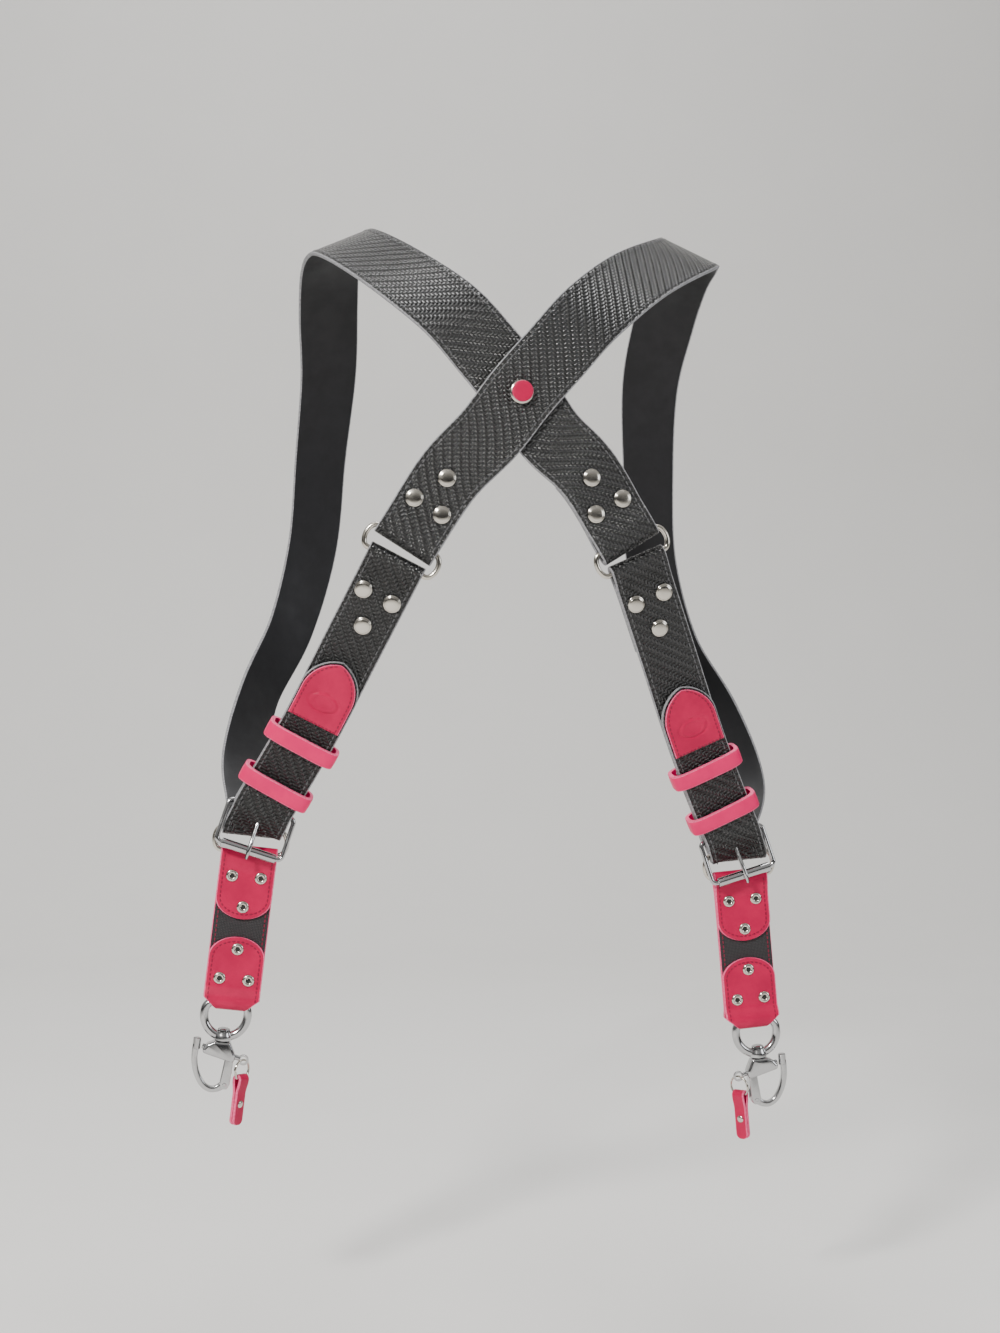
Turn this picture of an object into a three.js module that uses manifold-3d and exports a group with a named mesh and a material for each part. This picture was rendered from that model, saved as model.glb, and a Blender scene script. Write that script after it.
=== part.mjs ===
// Dual camera harness: two crossed shoulder straps with a roller buckle, a hip ring,
// a riveted tab and a swivel snap shackle on each side.
// Millimetres, +Z up. The wearer faces +Y, so the back of the harness lies toward -Y.
// The origin is midway between the two places where the straps rest on the shoulders.
import * as THREE from 'three';
import { mergeVertices } from 'three/addons/utils/BufferGeometryUtils.js';
import Module from 'manifold-3d';

const wasm = await Module();
wasm.setup();

// Leather
const clearance = 0.3; // left between pieces that touch
const strapWidth = 40;
const strapFoldWidth = 37; // where it is folded round the back ring
const tongueWidth = 34;
const strapThickness = 2.4;
const crossingGap = 1; // between the straps where they cross
const tipLength = 20; // the pointed end of the tongue
const tongueReach = 101; // heel bar to the point of the tongue
const tongueSlack = 0.2; // the tongue's stand-off over the buckle strap, beside the clearance
const foldReach = 50; // how far a folded end runs back from its bar
const foldRun = 2; // beyond the fold the strap keeps its height this far
const crossingRun = 26; // and it has its height at the crossing this far ahead of it
const holePitch = 25;
const holeRadius = 1.7;

// The way round the wearer
const shoulderReach = 110;
const backDepth = 112;
const frontDepth = 105;
const bodyTurn = 9; // the body's turn takes the front this far toward +X
const ringReach = 65.5;
const ringSetIn = 2; // the back rings' middles lie this far inside the crossing's depth
const ringDepth = backDepth - ringSetIn;
const ringTilt = 27; // degrees, outer end up
const ringTurn = 5; // degrees, facing outward
const ringRun = 42; // the stretch of strap that the ring's bar steers
const hipReach = 139;
const hipDepth = 60;
const hipDrop = 346;
const buckleStrapRise = 156; // from the buckles up to the back rings
const ringDrop = hipDrop - buckleStrapRise;
const crossingRise = 89; // from the back rings up to the crossing
const crossDrop = ringDrop - crossingRise;
const ringSkew = 1.5; // the left back ring is lower and the right one higher by this
const rightSideDrop = 13; // the right side is let out this much further
const hipRun = 26; // the strap comes straight to the hip ring's bar over this much
const buckleSlope = 72; // degrees from level
const buckleLean = 10; // degrees, top toward the back
const tabLean = 6; // degrees, foot outward

// Rings and rivets
const ringWire = 3;
const ringSpacing = 13.5; // from bar to bar
const ringEnd = 3.8; // from the strap's edge to the middle of the wire
const ringRound = 4.2; // reach of the round end
const rivetHead = 10;
const rivetShank = 3.4;
const rivetCap = 1.6;
const rivetSeat = 0.4; // between a cap and the leather
const rivetRow = 9; // the pair's distance from the middle of the strap
const rivetPair = 22; // from the bar to the pair
const rivetApex = 41; // from the bar to the single rivet
const studHead = 13.5;
const studCap = 2.6;
const studDisc = 12;
const studDiscHeight = 1.4;

// Buckle
const buckleWire = 2.8;
const buckleLength = 25.5; // heel bar to roller
const buckleRoom = 1.2; // beside the tongue
const buckleSwing = 18; // degrees, how far the roller stands off
const rollerDiameter = 5.6;
const prongWire = 2.4;
const hipBarDown = 13.5; // hip ring's upper bar below the heel bar
const hipBarBack = 1.5; // and behind it
const hipBarOut = 1.6; // and toward the side
const keeperWidth = 9.5;
const keeperThickness = 2.2;
const keeperPlaces = [16.5, 47]; // above the heel bar
const keeperBow = 2.8; // room beside the tongue
const keeperRise = 2.2; // room over it
const patchFoot = 62; // above the heel bar
const patchMargin = 1.3;
const patchThickness = 1.2;

// Camera tab
const tabWidth = 32.6;
const tabLength = 95.5;
const tabThickness = 2;
const tabFlap = 42.5; // each folded end
const tabRound = 12; // height of a flap's round end
const tabFootWidth = 15;
const tabFootHeight = 7;
const tabRivetHead = 7.2;
const tabRivetShank = 3;
const tabRivetCap = 1.2;
const tabRivetRow = 8.3;
const tabRivetPair = 18; // from the tab's end
const tabRivetApex = 35.5;

// Snap shackle
const eyeWire = 5;
const eyeReach = 12.4; // middle of the eye to the middle of its wire
const eyeRise = 8; // the flatter upper half
const eyeOut = 2; // the eye hangs this far outward of the tab's middle
const hubRadius = 5.2;
const postRadius = 2;
const postHead = 3.7;
const bellDepth = 9;
const bellTop = 15;
const bellHeight = 12;
const bellHalfWidth = 9.5;
const armWidth = 4.6;
const pivotIn = 3.9; // toward the body
const pivotDown = 39.5;
const pivotRadius = 1.1;
const bossRadius = 3.1;
const gateThickness = 3.6;
const gateDepth = 4;
const gateReach = 15;
const lugHeight = 7;
const lugRadius = 2.3;
const pinRadius = 1.5;
const pinTilt = 14; // degrees
const pinHeadRadius = 3.1;
const pinHeadThickness = 1.6;
const pinHoleRadius = 1.9;
const pinHeadOut = 3.6; // beyond the bell's inner side
const pullRingRadius = 6;
const pullRingWire = 1.2;
const pullTabWidth = 8;
const pullTabLength = 27;
const pullTabThickness = 1.7;
const pullTurn = 40; // degrees about the vertical

const fineness = 0.01; // a cut piece's slivers are closed up to this
const rad = THREE.MathUtils.degToRad;
const UP = new THREE.Vector3(0, 1, 0);
const routeSteps = 3; // stations from one row of a route to the next
const crossingRow = 3; // the row of the long strap's route that lies at the crossing
const folded = (strapThickness + clearance) / 2; // middle of a folded pair to one layer
const crossingOff = (strapThickness + crossingGap) / 2;
const ringFold = ringWire / 2 + clearance + strapThickness / 2;
const heelFold = buckleWire / 2 + clearance + strapThickness / 2;

const leather = (color) => new THREE.MeshStandardMaterial({ color, roughness: 0.5, metalness: 0 });
const metal = (color) => new THREE.MeshStandardMaterial({ color, roughness: 0.25, metalness: 1 });

const harness = new THREE.Group();

// Solids

function solid(geometry) {
  const bare = geometry.clone();
  bare.deleteAttribute('normal');
  bare.deleteAttribute('uv');
  const merged = mergeVertices(bare, 1e-4);
  return new wasm.Manifold(new wasm.Mesh({
    numProp: 3,
    vertProperties: new Float32Array(merged.attributes.position.array),
    triVerts: new Uint32Array(merged.index.array),
  }));
}

function geometryOf(manifold) {
  const mesh = manifold.getMesh();
  const geometry = new THREE.BufferGeometry();
  geometry.setAttribute('position', new THREE.BufferAttribute(mesh.vertProperties, 3));
  geometry.setIndex(new THREE.BufferAttribute(mesh.triVerts, 1));
  return geometry;
}

function piece(name, shape, material, parent = harness) {
  const geometry = shape.isBufferGeometry ? shape : geometryOf(shape);
  const mesh = new THREE.Mesh(geometry, material);
  mesh.name = name;
  parent.add(mesh);
  return mesh;
}

// A closed skin over a row of rings with the same number of corners.
function skin(rings, closed = false) {
  const count = rings[0].length;
  const corners = rings.flat();
  const faces = [];
  const spans = closed ? rings.length : rings.length - 1;
  for (let i = 0; i < spans; i++) {
    const a = i * count;
    const b = ((i + 1) % rings.length) * count;
    for (let j = 0; j < count; j++) {
      const k = (j + 1) % count;
      faces.push([a + j, b + j, b + k], [a + j, b + k, a + k]);
    }
  }
  if (!closed) {
    const end = (rings.length - 1) * count;
    for (let j = 1; j < count - 1; j++) {
      faces.push([0, j, j + 1], [end, end + j + 1, end + j]);
    }
  }
  let volume = 0;
  for (const [a, b, c] of faces) {
    volume += corners[a].dot(corners[b].clone().cross(corners[c]));
  }
  const outward = volume > 0 ? faces : faces.map(([a, b, c]) => [a, c, b]);
  const geometry = new THREE.BufferGeometry().setFromPoints(corners);
  geometry.setIndex(outward.flat());
  return geometry;
}

// Straps and tabs: each station has a middle p, an outward normal n and a half width.
function ribbon(stations, thickness) {
  const rings = stations.map(({ p, n, half }, i) => {
    const before = stations[Math.max(i - 1, 0)].p;
    const after = stations[Math.min(i + 1, stations.length - 1)].p;
    const along = after.clone().sub(before).normalize();
    const across = along.clone().cross(n).normalize().multiplyScalar(half);
    const out = across.clone().cross(along).normalize().multiplyScalar(thickness / 2);
    if (out.dot(n) < 0) out.negate();
    return [
      p.clone().add(across).add(out),
      p.clone().sub(across).add(out),
      p.clone().sub(across).sub(out),
      p.clone().add(across).sub(out),
    ];
  });
  return skin(rings);
}

// A round wire along a flat loop or an open line; up is any direction off the line.
function wire(points, radius, sides, up, closed) {
  const count = points.length;
  const rings = points.map((p, i) => {
    const before = closed ? points[(i + count - 1) % count] : points[Math.max(i - 1, 0)];
    const after = closed ? points[(i + 1) % count] : points[Math.min(i + 1, count - 1)];
    const along = after.clone().sub(before).normalize();
    const side = along.clone().cross(up).normalize();
    const over = side.clone().cross(along).normalize();
    const ring = [];
    for (let j = 0; j < sides; j++) {
      const turn = ((j + 0.5) / sides) * 2 * Math.PI;
      ring.push(p.clone()
        .addScaledVector(side, radius * Math.cos(turn))
        .addScaledVector(over, radius * Math.sin(turn)));
    }
    return ring;
  });
  return skin(rings, closed);
}

// A long loop with round ends in the local XZ plane, level along X.
function ringLoop(strapHalf, steps = 6) {
  const straight = strapHalf + ringEnd - ringRound;
  const points = [];
  for (const end of [1, -1]) {
    for (let i = 0; i <= steps; i++) {
      const turn = (i / steps - 0.5) * Math.PI;
      points.push(new THREE.Vector3(
        end * (straight + ringRound * Math.cos(turn)), 0, end * ringSpacing / 2 * Math.sin(turn)));
    }
  }
  return points;
}

// An outline in the local XZ plane, thick along Y and centred on it.
function plate(outline, depth, bevel = 0) {
  const shape = new THREE.Shape(outline.map(([x, z]) => new THREE.Vector2(x, z)));
  const geometry = new THREE.ExtrudeGeometry(shape, {
    depth: depth - 2 * bevel,
    bevelEnabled: bevel > 0,
    bevelThickness: bevel,
    bevelSize: bevel,
    bevelOffset: -bevel,
    bevelSegments: 1,
  });
  geometry.translate(0, 0, bevel - depth / 2);
  geometry.rotateX(Math.PI / 2);
  return geometry;
}

// A round bar from one place to another.
function rod(from, to, radius, sides = 9) {
  const line = to.clone().sub(from);
  const geometry = new THREE.CylinderGeometry(radius, radius, line.length(), sides);
  geometry.applyQuaternion(new THREE.Quaternion().setFromUnitVectors(UP, line.clone().normalize()));
  geometry.translate(...from.clone().add(to).multiplyScalar(0.5));
  return geometry;
}

// A hole across a place on a strap.
function bore({ p, n }, radius, reach = 4 * strapThickness) {
  return solid(rod(p.clone().addScaledVector(n, -reach), p.clone().addScaledVector(n, reach), radius, 6));
}

function cutAll(body, tools) {
  const cut = tools.reduce((rest, tool) => rest.subtract(tool), body).simplify(fineness);
  const [kept] = cut.decompose().sort((a, b) => b.volume() - a.volume()); // a sliver can come loose
  return kept;
}

// Double cap rivet about its own Y axis: a cap on each side of a stack of the given height.
function rivetShape(headRadius, shankRadius, stack, cap, sides = 7) {
  const seat = stack / 2 + rivetSeat;
  const crown = headRadius * 0.72;
  const profile = [
    [0, -seat - cap], [crown, -seat - cap], [headRadius, -seat], [shankRadius, -seat],
    [shankRadius, seat], [headRadius, seat], [crown, seat + cap], [0, seat + cap],
  ];
  return new THREE.LatheGeometry(profile.map(([r, y]) => new THREE.Vector2(r, y)), sides);
}

function setOn(mesh, { p, n }) {
  mesh.position.copy(p);
  mesh.quaternion.setFromUnitVectors(UP, n);
}

// Routes

const ease = (x) => {
  const t = THREE.MathUtils.clamp(x, 0, 1);
  return t * t * (3 - 2 * t);
};

// A smooth way through rows of {p, n}: places at even parameter steps, with distance d.
function route(rows, perRow) {
  const places = new THREE.CatmullRomCurve3(rows.map((row) => row.p), false, 'catmullrom', 0.5);
  const normals = new THREE.CatmullRomCurve3(rows.map((row) => row.n), false, 'catmullrom', 0.5);
  const count = perRow * (rows.length - 1);
  const stops = [];
  let d = 0;
  for (let i = 0; i <= count; i++) {
    const p = places.getPoint(i / count);
    const along = places.getTangent(i / count);
    const n = normals.getPoint(i / count);
    n.addScaledVector(along, -n.dot(along)).normalize();
    if (i > 0) d += p.distanceTo(stops[i - 1].p);
    stops.push({ p, n, along, d });
  }
  return stops;
}

// The place on a route at a distance from its start.
function at(stops, distance) {
  const found = stops.findIndex((stop) => stop.d >= distance);
  const i = found < 0 ? stops.length - 1 : Math.max(1, found);
  const [a, b] = [stops[i - 1], stops[i]];
  const t = (distance - a.d) / (b.d - a.d);
  const p = a.p.clone().lerp(b.p, t);
  const n = a.n.clone().lerp(b.n, t).normalize();
  const along = b.p.clone().sub(a.p).normalize();
  return { p, n, along, across: along.clone().cross(n).normalize(), d: distance };
}

const lifted = (stop, height) => stop.p.clone().addScaledVector(stop.n, height);

// From the folded end under the bar, round it, to the outer layer: heights of one layer
// above the middle of the fold, at a distance from the bar.
function foldHeight(distance, atBar, slack) {
  const wide = 2 * slack + ringWire / 2 + 1;
  return THREE.MathUtils.lerp(atBar, folded, ease((distance - wide) / 12));
}

function halfTurn(centre, down, n, radius, half, steps = 6) {
  const stations = [];
  for (let i = 1; i < steps; i++) {
    const turn = (i / steps) * Math.PI;
    const out = n.clone().multiplyScalar(-Math.cos(turn)).addScaledVector(down, Math.sin(turn));
    stations.push({ p: centre.clone().addScaledVector(out, radius), n: out, half });
  }
  return stations;
}

// Rows of the shoulder stretch, from the crossing to the chest. Places are shares of the
// shoulder reach, of the back or front depth and of the drop of the crossing; n is the normal
// and turn the share of the body's turn.
const shoulderRows = [
  { out: -0.16, fore: -1, up: -1.235, n: [0, -1, 0], turn: 0 },
  { out: 0, fore: -1, up: -1, n: [0, -1, 0], turn: 0 },
  { out: 0.175, fore: -1, up: -0.775, n: [0, -1, 0], turn: 0 },
  { out: 0.37, fore: -0.95, up: -0.535, n: [0.12, -0.95, 0.3], turn: 0 },
  { out: 0.64, fore: -0.75, up: -0.28, n: [0.2, -0.75, 0.6], turn: 0.1 },
  { out: 0.9, fore: -0.46, up: -0.08, n: [0.33, -0.42, 0.83], turn: 0.7 },
  { out: 0.99, fore: -0.11, up: 0, n: [0.42, -0.05, 0.9], turn: 1 },
  { out: 1.01, fore: 0.24, up: -0.06, n: [0.4, 0.38, 0.85], turn: 1 },
  { out: 1, fore: 0.55, up: -0.28, n: [0.32, 0.75, 0.58], turn: 1 },
  { out: 0.98, fore: 0.82, up: -0.66, n: [0.25, 0.93, 0.3], turn: 1 },
];

// Rows of the chest and side stretch: shares of the hip reach, front depth and hip drop.
const sideRows = [
  { out: 0.8, fore: 0.97, down: 0.35, n: [0.2, 0.98, 0.08], turn: 1 },
  { out: 0.83, fore: 1.01, down: 0.52, n: [0.3, 0.95, 0], turn: 1 },
  { out: 0.93, fore: 0.9, down: 0.68, n: [0.52, 0.86, -0.05], turn: 1 },
  { out: 1.08, fore: 0.58, down: 0.81, n: [0.68, 0.72, -0.1], turn: 1 },
  { out: 1.12, fore: 0.13, down: 0.93, n: [0.45, 0.85, -0.35], turn: 0.8 },
];

// Frames at a side: u points away from the middle, v down the strap, n out of the wearer.

const drop = (side) => hipDrop + side * rightSideDrop / 2;

function backRing(side) {
  const n = new THREE.Vector3(side * Math.sin(rad(ringTurn)), -Math.cos(rad(ringTurn)), 0);
  const u = new THREE.Vector3(side * Math.cos(rad(ringTilt)), 0, Math.sin(rad(ringTilt)));
  u.addScaledVector(n, -u.dot(n)).normalize();
  const v = new THREE.Vector3(0, 0, -1);
  v.addScaledVector(n, -v.dot(n)).addScaledVector(u, -v.dot(u)).normalize();
  const centre = new THREE.Vector3(side * ringReach, -ringDepth, side * ringSkew - ringDrop);
  const upper = centre.clone().addScaledVector(v, -ringSpacing / 2);
  const lower = centre.clone().addScaledVector(v, ringSpacing / 2);
  return { centre, u, v, n, upper, lower };
}

function buckleFrame(side) {
  const v = new THREE.Vector3(
    side * Math.cos(rad(buckleSlope)), Math.tan(rad(buckleLean)), -Math.sin(rad(buckleSlope)));
  v.normalize();
  const n = new THREE.Vector3(0, -1, 0);
  n.addScaledVector(v, -n.dot(v)).normalize();
  const u = v.clone().cross(n).multiplyScalar(-side);
  const heel = new THREE.Vector3(side * hipReach, -hipDepth, -drop(side));
  return { heel, u, v, n };
}

function hipFrame(side) {
  const buckle = buckleFrame(side);
  const v = new THREE.Vector3(side * Math.sin(rad(tabLean)), 0, -Math.cos(rad(tabLean)));
  const n = new THREE.Vector3(0, -1, 0);
  const u = new THREE.Vector3(side * Math.cos(rad(tabLean)), 0, Math.sin(rad(tabLean)));
  const upper = buckle.heel.clone()
    .addScaledVector(buckle.v, hipBarDown)
    .addScaledVector(buckle.n, -hipBarBack)
    .addScaledVector(u, hipBarOut);
  const lower = upper.clone().addScaledVector(v, ringSpacing);
  return { upper, lower, u, v, n };
}

// A group whose X points to the viewer's right of the back, Y forward and Z up the frame.
function frameGroup(name, origin, { u, v, n }, side) {
  const group = new THREE.Group();
  group.name = name;
  group.position.copy(origin);
  group.quaternion.setFromRotationMatrix(new THREE.Matrix4().makeBasis(
    u.clone().multiplyScalar(side), n.clone().negate(), v.clone().negate()));
  harness.add(group);
  return group;
}

// The buckle strap's middle line from the back ring's lower bar to the heel bar.
function buckleRoute(side) {
  const ring = backRing(side);
  const buckle = buckleFrame(side);
  const rows = [
    { along: 0, out: 0, n: ring.n },
    { along: 0.33, out: -0.008, n: new THREE.Vector3(0.09 * side, -0.98, -0.06) },
    { along: 0.67, out: -0.015, n: new THREE.Vector3(0.07 * side, -0.98, -0.14) },
    { along: 1, out: 0, n: buckle.n },
  ].map(({ along, out, n }) => {
    const p = ring.lower.clone().lerp(buckle.heel, along);
    p.x += side * out * hipReach;
    return { p, n };
  });
  return route(rows, 2 * routeSteps);
}

// The tongue's stretch above the heel bar lies over the buckle strap.
function tongueHeight(above) {
  return tongueSlack
    + THREE.MathUtils.lerp(heelFold + strapThickness + clearance, 3 * folded, ease((above - 4) / 14));
}

// Half width of the pointed tip, by the distance from its point; stations as shares of its length.
const tipShares = [1, 0.75, 0.5, 0.3, 0.15, 0.05];

function tipHalf(fromPoint, half, length) {
  const q = THREE.MathUtils.clamp(1 - fromPoint / length, 0, 1);
  return half * (1 - q ** 2) ** 0.62;
}

// Long strap

function longStrapRoute(side) {
  const ring = backRing(-side);
  const hip = hipFrame(side);
  const [first] = shoulderRows;
  const toward = new THREE.Vector3(side * first.out * shoulderReach, first.fore * backDepth, first.up * crossDrop)
    .sub(ring.upper).normalize();
  const leaving = toward.sub(ring.v).normalize();
  const rows = [{ p: ring.upper, n: ring.n }];
  rows.push({ p: ring.upper.clone().addScaledVector(leaving, ringRun), n: ring.n });
  for (const { out, fore, up, n, turn } of shoulderRows) {
    rows.push({
      p: new THREE.Vector3(
        side * out * shoulderReach + turn * bodyTurn,
        fore * (fore < 0 ? backDepth : frontDepth), up * crossDrop),
      n: new THREE.Vector3(side * n[0], n[1], n[2]),
    });
  }
  for (const { out, fore, down, n, turn } of sideRows) {
    rows.push({
      p: new THREE.Vector3(
        side * out * hipReach + turn * bodyTurn, fore * frontDepth, -down * drop(side)),
      n: new THREE.Vector3(side * n[0], n[1], n[2]),
    });
  }
  const leave = hipTurn(hip, hipTurnEnd);
  for (const share of [1, 0.5, 0]) {
    rows.push({ p: leave.p.clone().addScaledVector(leave.along, -share * hipRun), n: leave.n });
  }
  return route(rows, routeSteps);
}


// The turn round the hip ring's upper bar, by degrees from the outer side.
const hipTurnStart = 12;
const hipTurnEnd = 128;

function hipTurn(hip, degrees) {
  const n = hip.n.clone().multiplyScalar(Math.cos(rad(degrees)))
    .addScaledVector(hip.v, Math.sin(rad(degrees)));
  const along = hip.n.clone().multiplyScalar(Math.sin(rad(degrees)))
    .addScaledVector(hip.v, -Math.cos(rad(degrees)));
  const p = hip.upper.clone().addScaledVector(n, ringFold);
  return { p, n, along };
}

function longStrap(side) {
  const ring = backRing(-side);
  const hip = hipFrame(side);
  const buckle = buckleFrame(side);
  const stops = longStrapRoute(side);
  const length = stops[stops.length - 1].d;
  const down = stops[0].along.clone().negate();
  const slack = Math.abs(ring.u.dot(down)) * strapFoldWidth / 2;
  const wide = strapWidth / 2;
  const atFold = strapFoldWidth / 2;
  const narrow = tongueWidth / 2;
  const crossing = stops[crossingRow * routeSteps].d;
  const half = (d) => {
    const back = THREE.MathUtils.lerp(atFold, wide, ease(d / crossing));
    return THREE.MathUtils.lerp(back, narrow, ease((d / length - 0.46) / 0.16));
  };
  const height = (d) => {
    const beside = side * crossingOff; // the right shoulder's strap lies on top at the crossing
    const fold = foldHeight(d, ringFold, slack);
    const toCrossing = ease((d - foldReach - foldRun) / (crossing - foldReach - foldRun - crossingRun));
    const away = ease((length - d) / 40);
    return THREE.MathUtils.lerp(fold, beside, toCrossing) * away;
  };

  const stations = [];
  const layer = [...stops.filter(({ d }) => d > 0 && d < foldReach), at(stops, foldReach)];
  for (const stop of layer.reverse()) {
    const under = foldHeight(stop.d, ringFold, slack);
    stations.push({ p: lifted(stop, -under), n: stop.n.clone().negate(), half: half(stop.d) });
  }
  const centre = ring.upper.clone().addScaledVector(down, slack);
  const { n } = stops[0];
  stations.push({ p: centre.clone().addScaledVector(n, -ringFold), n: n.clone().negate(), half: atFold });
  stations.push(...halfTurn(centre, down, n, ringFold, atFold));
  stations.push({ p: centre.clone().addScaledVector(n, ringFold), n, half: atFold });
  for (const stop of stops.slice(1)) {
    stations.push({ p: lifted(stop, height(stop.d)), n: stop.n, half: half(stop.d) });
  }
  const turnSteps = 5;
  for (let i = 1; i <= turnSteps; i++) {
    const degrees = THREE.MathUtils.lerp(hipTurnEnd, hipTurnStart, i / turnSteps);
    const place = hipTurn(hip, degrees);
    stations.push({ p: place.p, n: place.n, half: narrow });
  }
  const under = buckleRoute(side);
  const heelAt = under[under.length - 1].d;
  const over = buckle.heel.clone()
    .addScaledVector(buckle.v, prongWire)
    .addScaledVector(buckle.n, tongueHeight(0));
  const last = stations[stations.length - 1];
  for (const t of [0.5, 1]) {
    const turned = last.n.clone().lerp(buckle.n, t).normalize();
    stations.push({ p: last.p.clone().lerp(over, t), n: turned, half: narrow });
  }
  const tipSteps = tipShares.map((q) => tongueReach - q * tipLength);
  const bodySteps = under.map(({ d }) => heelAt - d).filter((above) => above < tongueReach - tipLength - 2);
  for (const above of [...bodySteps.reverse(), ...tipSteps]) {
    const stop = at(under, heelAt - above);
    stations.push({
      p: lifted(stop, tongueHeight(above)),
      n: stop.n,
      half: Math.max(tipHalf(tongueReach - above, narrow, tipLength), 0.8),
    });
  }

  const holes = rivetPlaces(stops).map((place) => bore(place, rivetShank / 2 + clearance));
  holes.push(bore(crossingPlace(), rivetShank / 2 + clearance));
  for (const above of [holePitch - 8, 2 * holePitch - 8]) {
    holes.push(bore(at(under, heelAt - above), holeRadius, tongueHeight(above) + strapThickness));
  }
  for (const before of [1, 2, 3]) {
    holes.push(bore(at(stops, length - before * holePitch), holeRadius));
  }
  holes.push(backRingShape(-side, clearance), prongShape(side, clearance));
  return cutAll(solid(ribbon(stations, strapThickness)), holes);
}

// Three rivets through a fold: a pair beside the bar and one beyond them.
function rivetPlaces(stops) {
  return [
    { d: rivetPair, off: -rivetRow },
    { d: rivetPair, off: rivetRow },
    { d: rivetApex, off: 0 },
  ].map(({ d, off }) => {
    const place = at(stops, d);
    place.p.addScaledVector(place.across, off);
    return place;
  });
}

function crossingPlace() {
  return { p: new THREE.Vector3(0, -backDepth, -crossDrop), n: new THREE.Vector3(0, -1, 0) };
}

// Buckle strap

function buckleStrap(side) {
  const ring = backRing(side);
  const buckle = buckleFrame(side);
  const stops = buckleRoute(side);
  const length = stops[stops.length - 1].d;
  const half = tongueWidth / 2;
  const height = (d) => Math.max(
    foldHeight(d, ringFold, 0),
    foldHeight(length - d, heelFold, 0),
  );
  const stations = [];
  const upEnd = [...stops.filter(({ d }) => d > 0 && d < foldReach), at(stops, foldReach)];
  for (const stop of upEnd.reverse()) {
    stations.push({ p: lifted(stop, -height(stop.d)), n: stop.n.clone().negate(), half });
  }
  const up = stops[0].along.clone().negate();
  stations.push({ p: lifted(stops[0], -ringFold), n: stops[0].n.clone().negate(), half });
  stations.push(...halfTurn(stops[0].p, up, stops[0].n, ringFold, half));
  for (const stop of stops) {
    stations.push({ p: lifted(stop, height(stop.d)), n: stop.n, half });
  }
  const end = stops[stops.length - 1];
  const turn = halfTurn(end.p, end.along, end.n, heelFold, half).reverse();
  stations.push(...turn);
  stations.push({ p: lifted(end, -heelFold), n: end.n.clone().negate(), half });
  const foot = [at(stops, length - foldReach), ...stops.filter(({ d }) => d < length && d > length - foldReach)];
  for (const stop of foot.reverse()) {
    stations.push({ p: lifted(stop, -height(stop.d)), n: stop.n.clone().negate(), half });
  }
  const holes = rivetPlaces(stops).map((place) => bore(place, rivetShank / 2 + clearance));
  const slot = new THREE.BoxGeometry(prongWire + 2 * clearance, 6 * heelFold, 4 * heelFold);
  holes.push(solid(inFrame(slot, buckle.heel, buckle, side)));
  holes.push(backRingShape(side, clearance), buckleFrameShape(side, clearance));
  return cutAll(solid(ribbon(stations, strapThickness)), holes);
}

// Rings, buckle and keepers

// Takes a shape drawn in a frame's own X, Y and Z to its place.
function inFrame(geometry, origin, { u, v, n }, side) {
  const turn = new THREE.Matrix4().makeBasis(
    u.clone().multiplyScalar(side), n.clone().negate(), v.clone().negate());
  return geometry.applyMatrix4(turn.setPosition(origin));
}

function backRingShape(side, grown = 0) {
  const ring = backRing(side);
  const loop = wire(ringLoop(strapFoldWidth / 2), ringWire / 2 + grown, 6, UP, true);
  return solid(inFrame(loop, ring.centre, ring, side));
}

function hipRingShape(side) {
  const hip = hipFrame(side);
  const centre = hip.upper.clone().lerp(hip.lower, 0.5);
  const loop = wire(ringLoop(tongueWidth / 2), ringWire / 2, 6, UP, true);
  return solid(inFrame(loop, centre, hip, side));
}

// The buckle's own frame swings out from the strap about the heel bar.
function swungFrame(side) {
  const { heel, u, v, n } = buckleFrame(side);
  const swing = rad(buckleSwing);
  return {
    heel,
    u,
    v: v.clone().multiplyScalar(Math.cos(swing)).addScaledVector(n, Math.sin(swing)),
    n: n.clone().multiplyScalar(Math.cos(swing)).addScaledVector(v, -Math.sin(swing)),
  };
}

const buckleHalf = tongueWidth / 2 + buckleRoom + buckleWire / 2;
const buckleCorner = 3;

function buckleFrameShape(side, grown = 0) {
  const points = [];
  const corners = [[1, 0], [1, -buckleLength], [-1, -buckleLength], [-1, 0]];
  corners.forEach(([end, z], corner) => {
    const lowered = z === 0 ? -buckleCorner : z + buckleCorner;
    const start = (1 - corner) * Math.PI / 2;
    for (let i = 0; i <= 3; i++) {
      const turn = start - (i / 3) * Math.PI / 2;
      points.push(new THREE.Vector3(
        end * (buckleHalf - buckleCorner) + buckleCorner * Math.cos(turn), 0,
        lowered + buckleCorner * Math.sin(turn)));
    }
  });
  const swung = swungFrame(side);
  const loop = wire(points, buckleWire / 2 + grown, 6, UP, true);
  return solid(inFrame(loop, swung.heel, swung, side));
}

function rollerShape(side) {
  const inner = buckleWire / 2 + clearance;
  const outer = rollerDiameter / 2;
  const halfLength = buckleHalf - buckleCorner - clearance;
  const profile = [[inner, -1], [outer, -1], [outer, 1], [inner, 1], [inner, -1]];
  const tube = new THREE.LatheGeometry(
    profile.map(([r, end]) => new THREE.Vector2(r, end * halfLength)), 12);
  tube.rotateZ(Math.PI / 2).translate(0, 0, -buckleLength);
  const swung = swungFrame(side);
  return solid(inFrame(tube, swung.heel, swung, side));
}

// Rows of the prong from the heel bar to its point: a share of the frame's length, and
// how far it stands off the frame's plane.
const prongRows = [
  { down: 0.08, off: 2 }, { down: 0.24, off: 1.2 }, { down: 0.4, off: 1.6 }, { down: 0.6, off: 2.8 },
  { down: 0.8, off: 4.1 }, { down: 1, off: 4.5 }, { down: 1.2, off: 3.9 },
];

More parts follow.
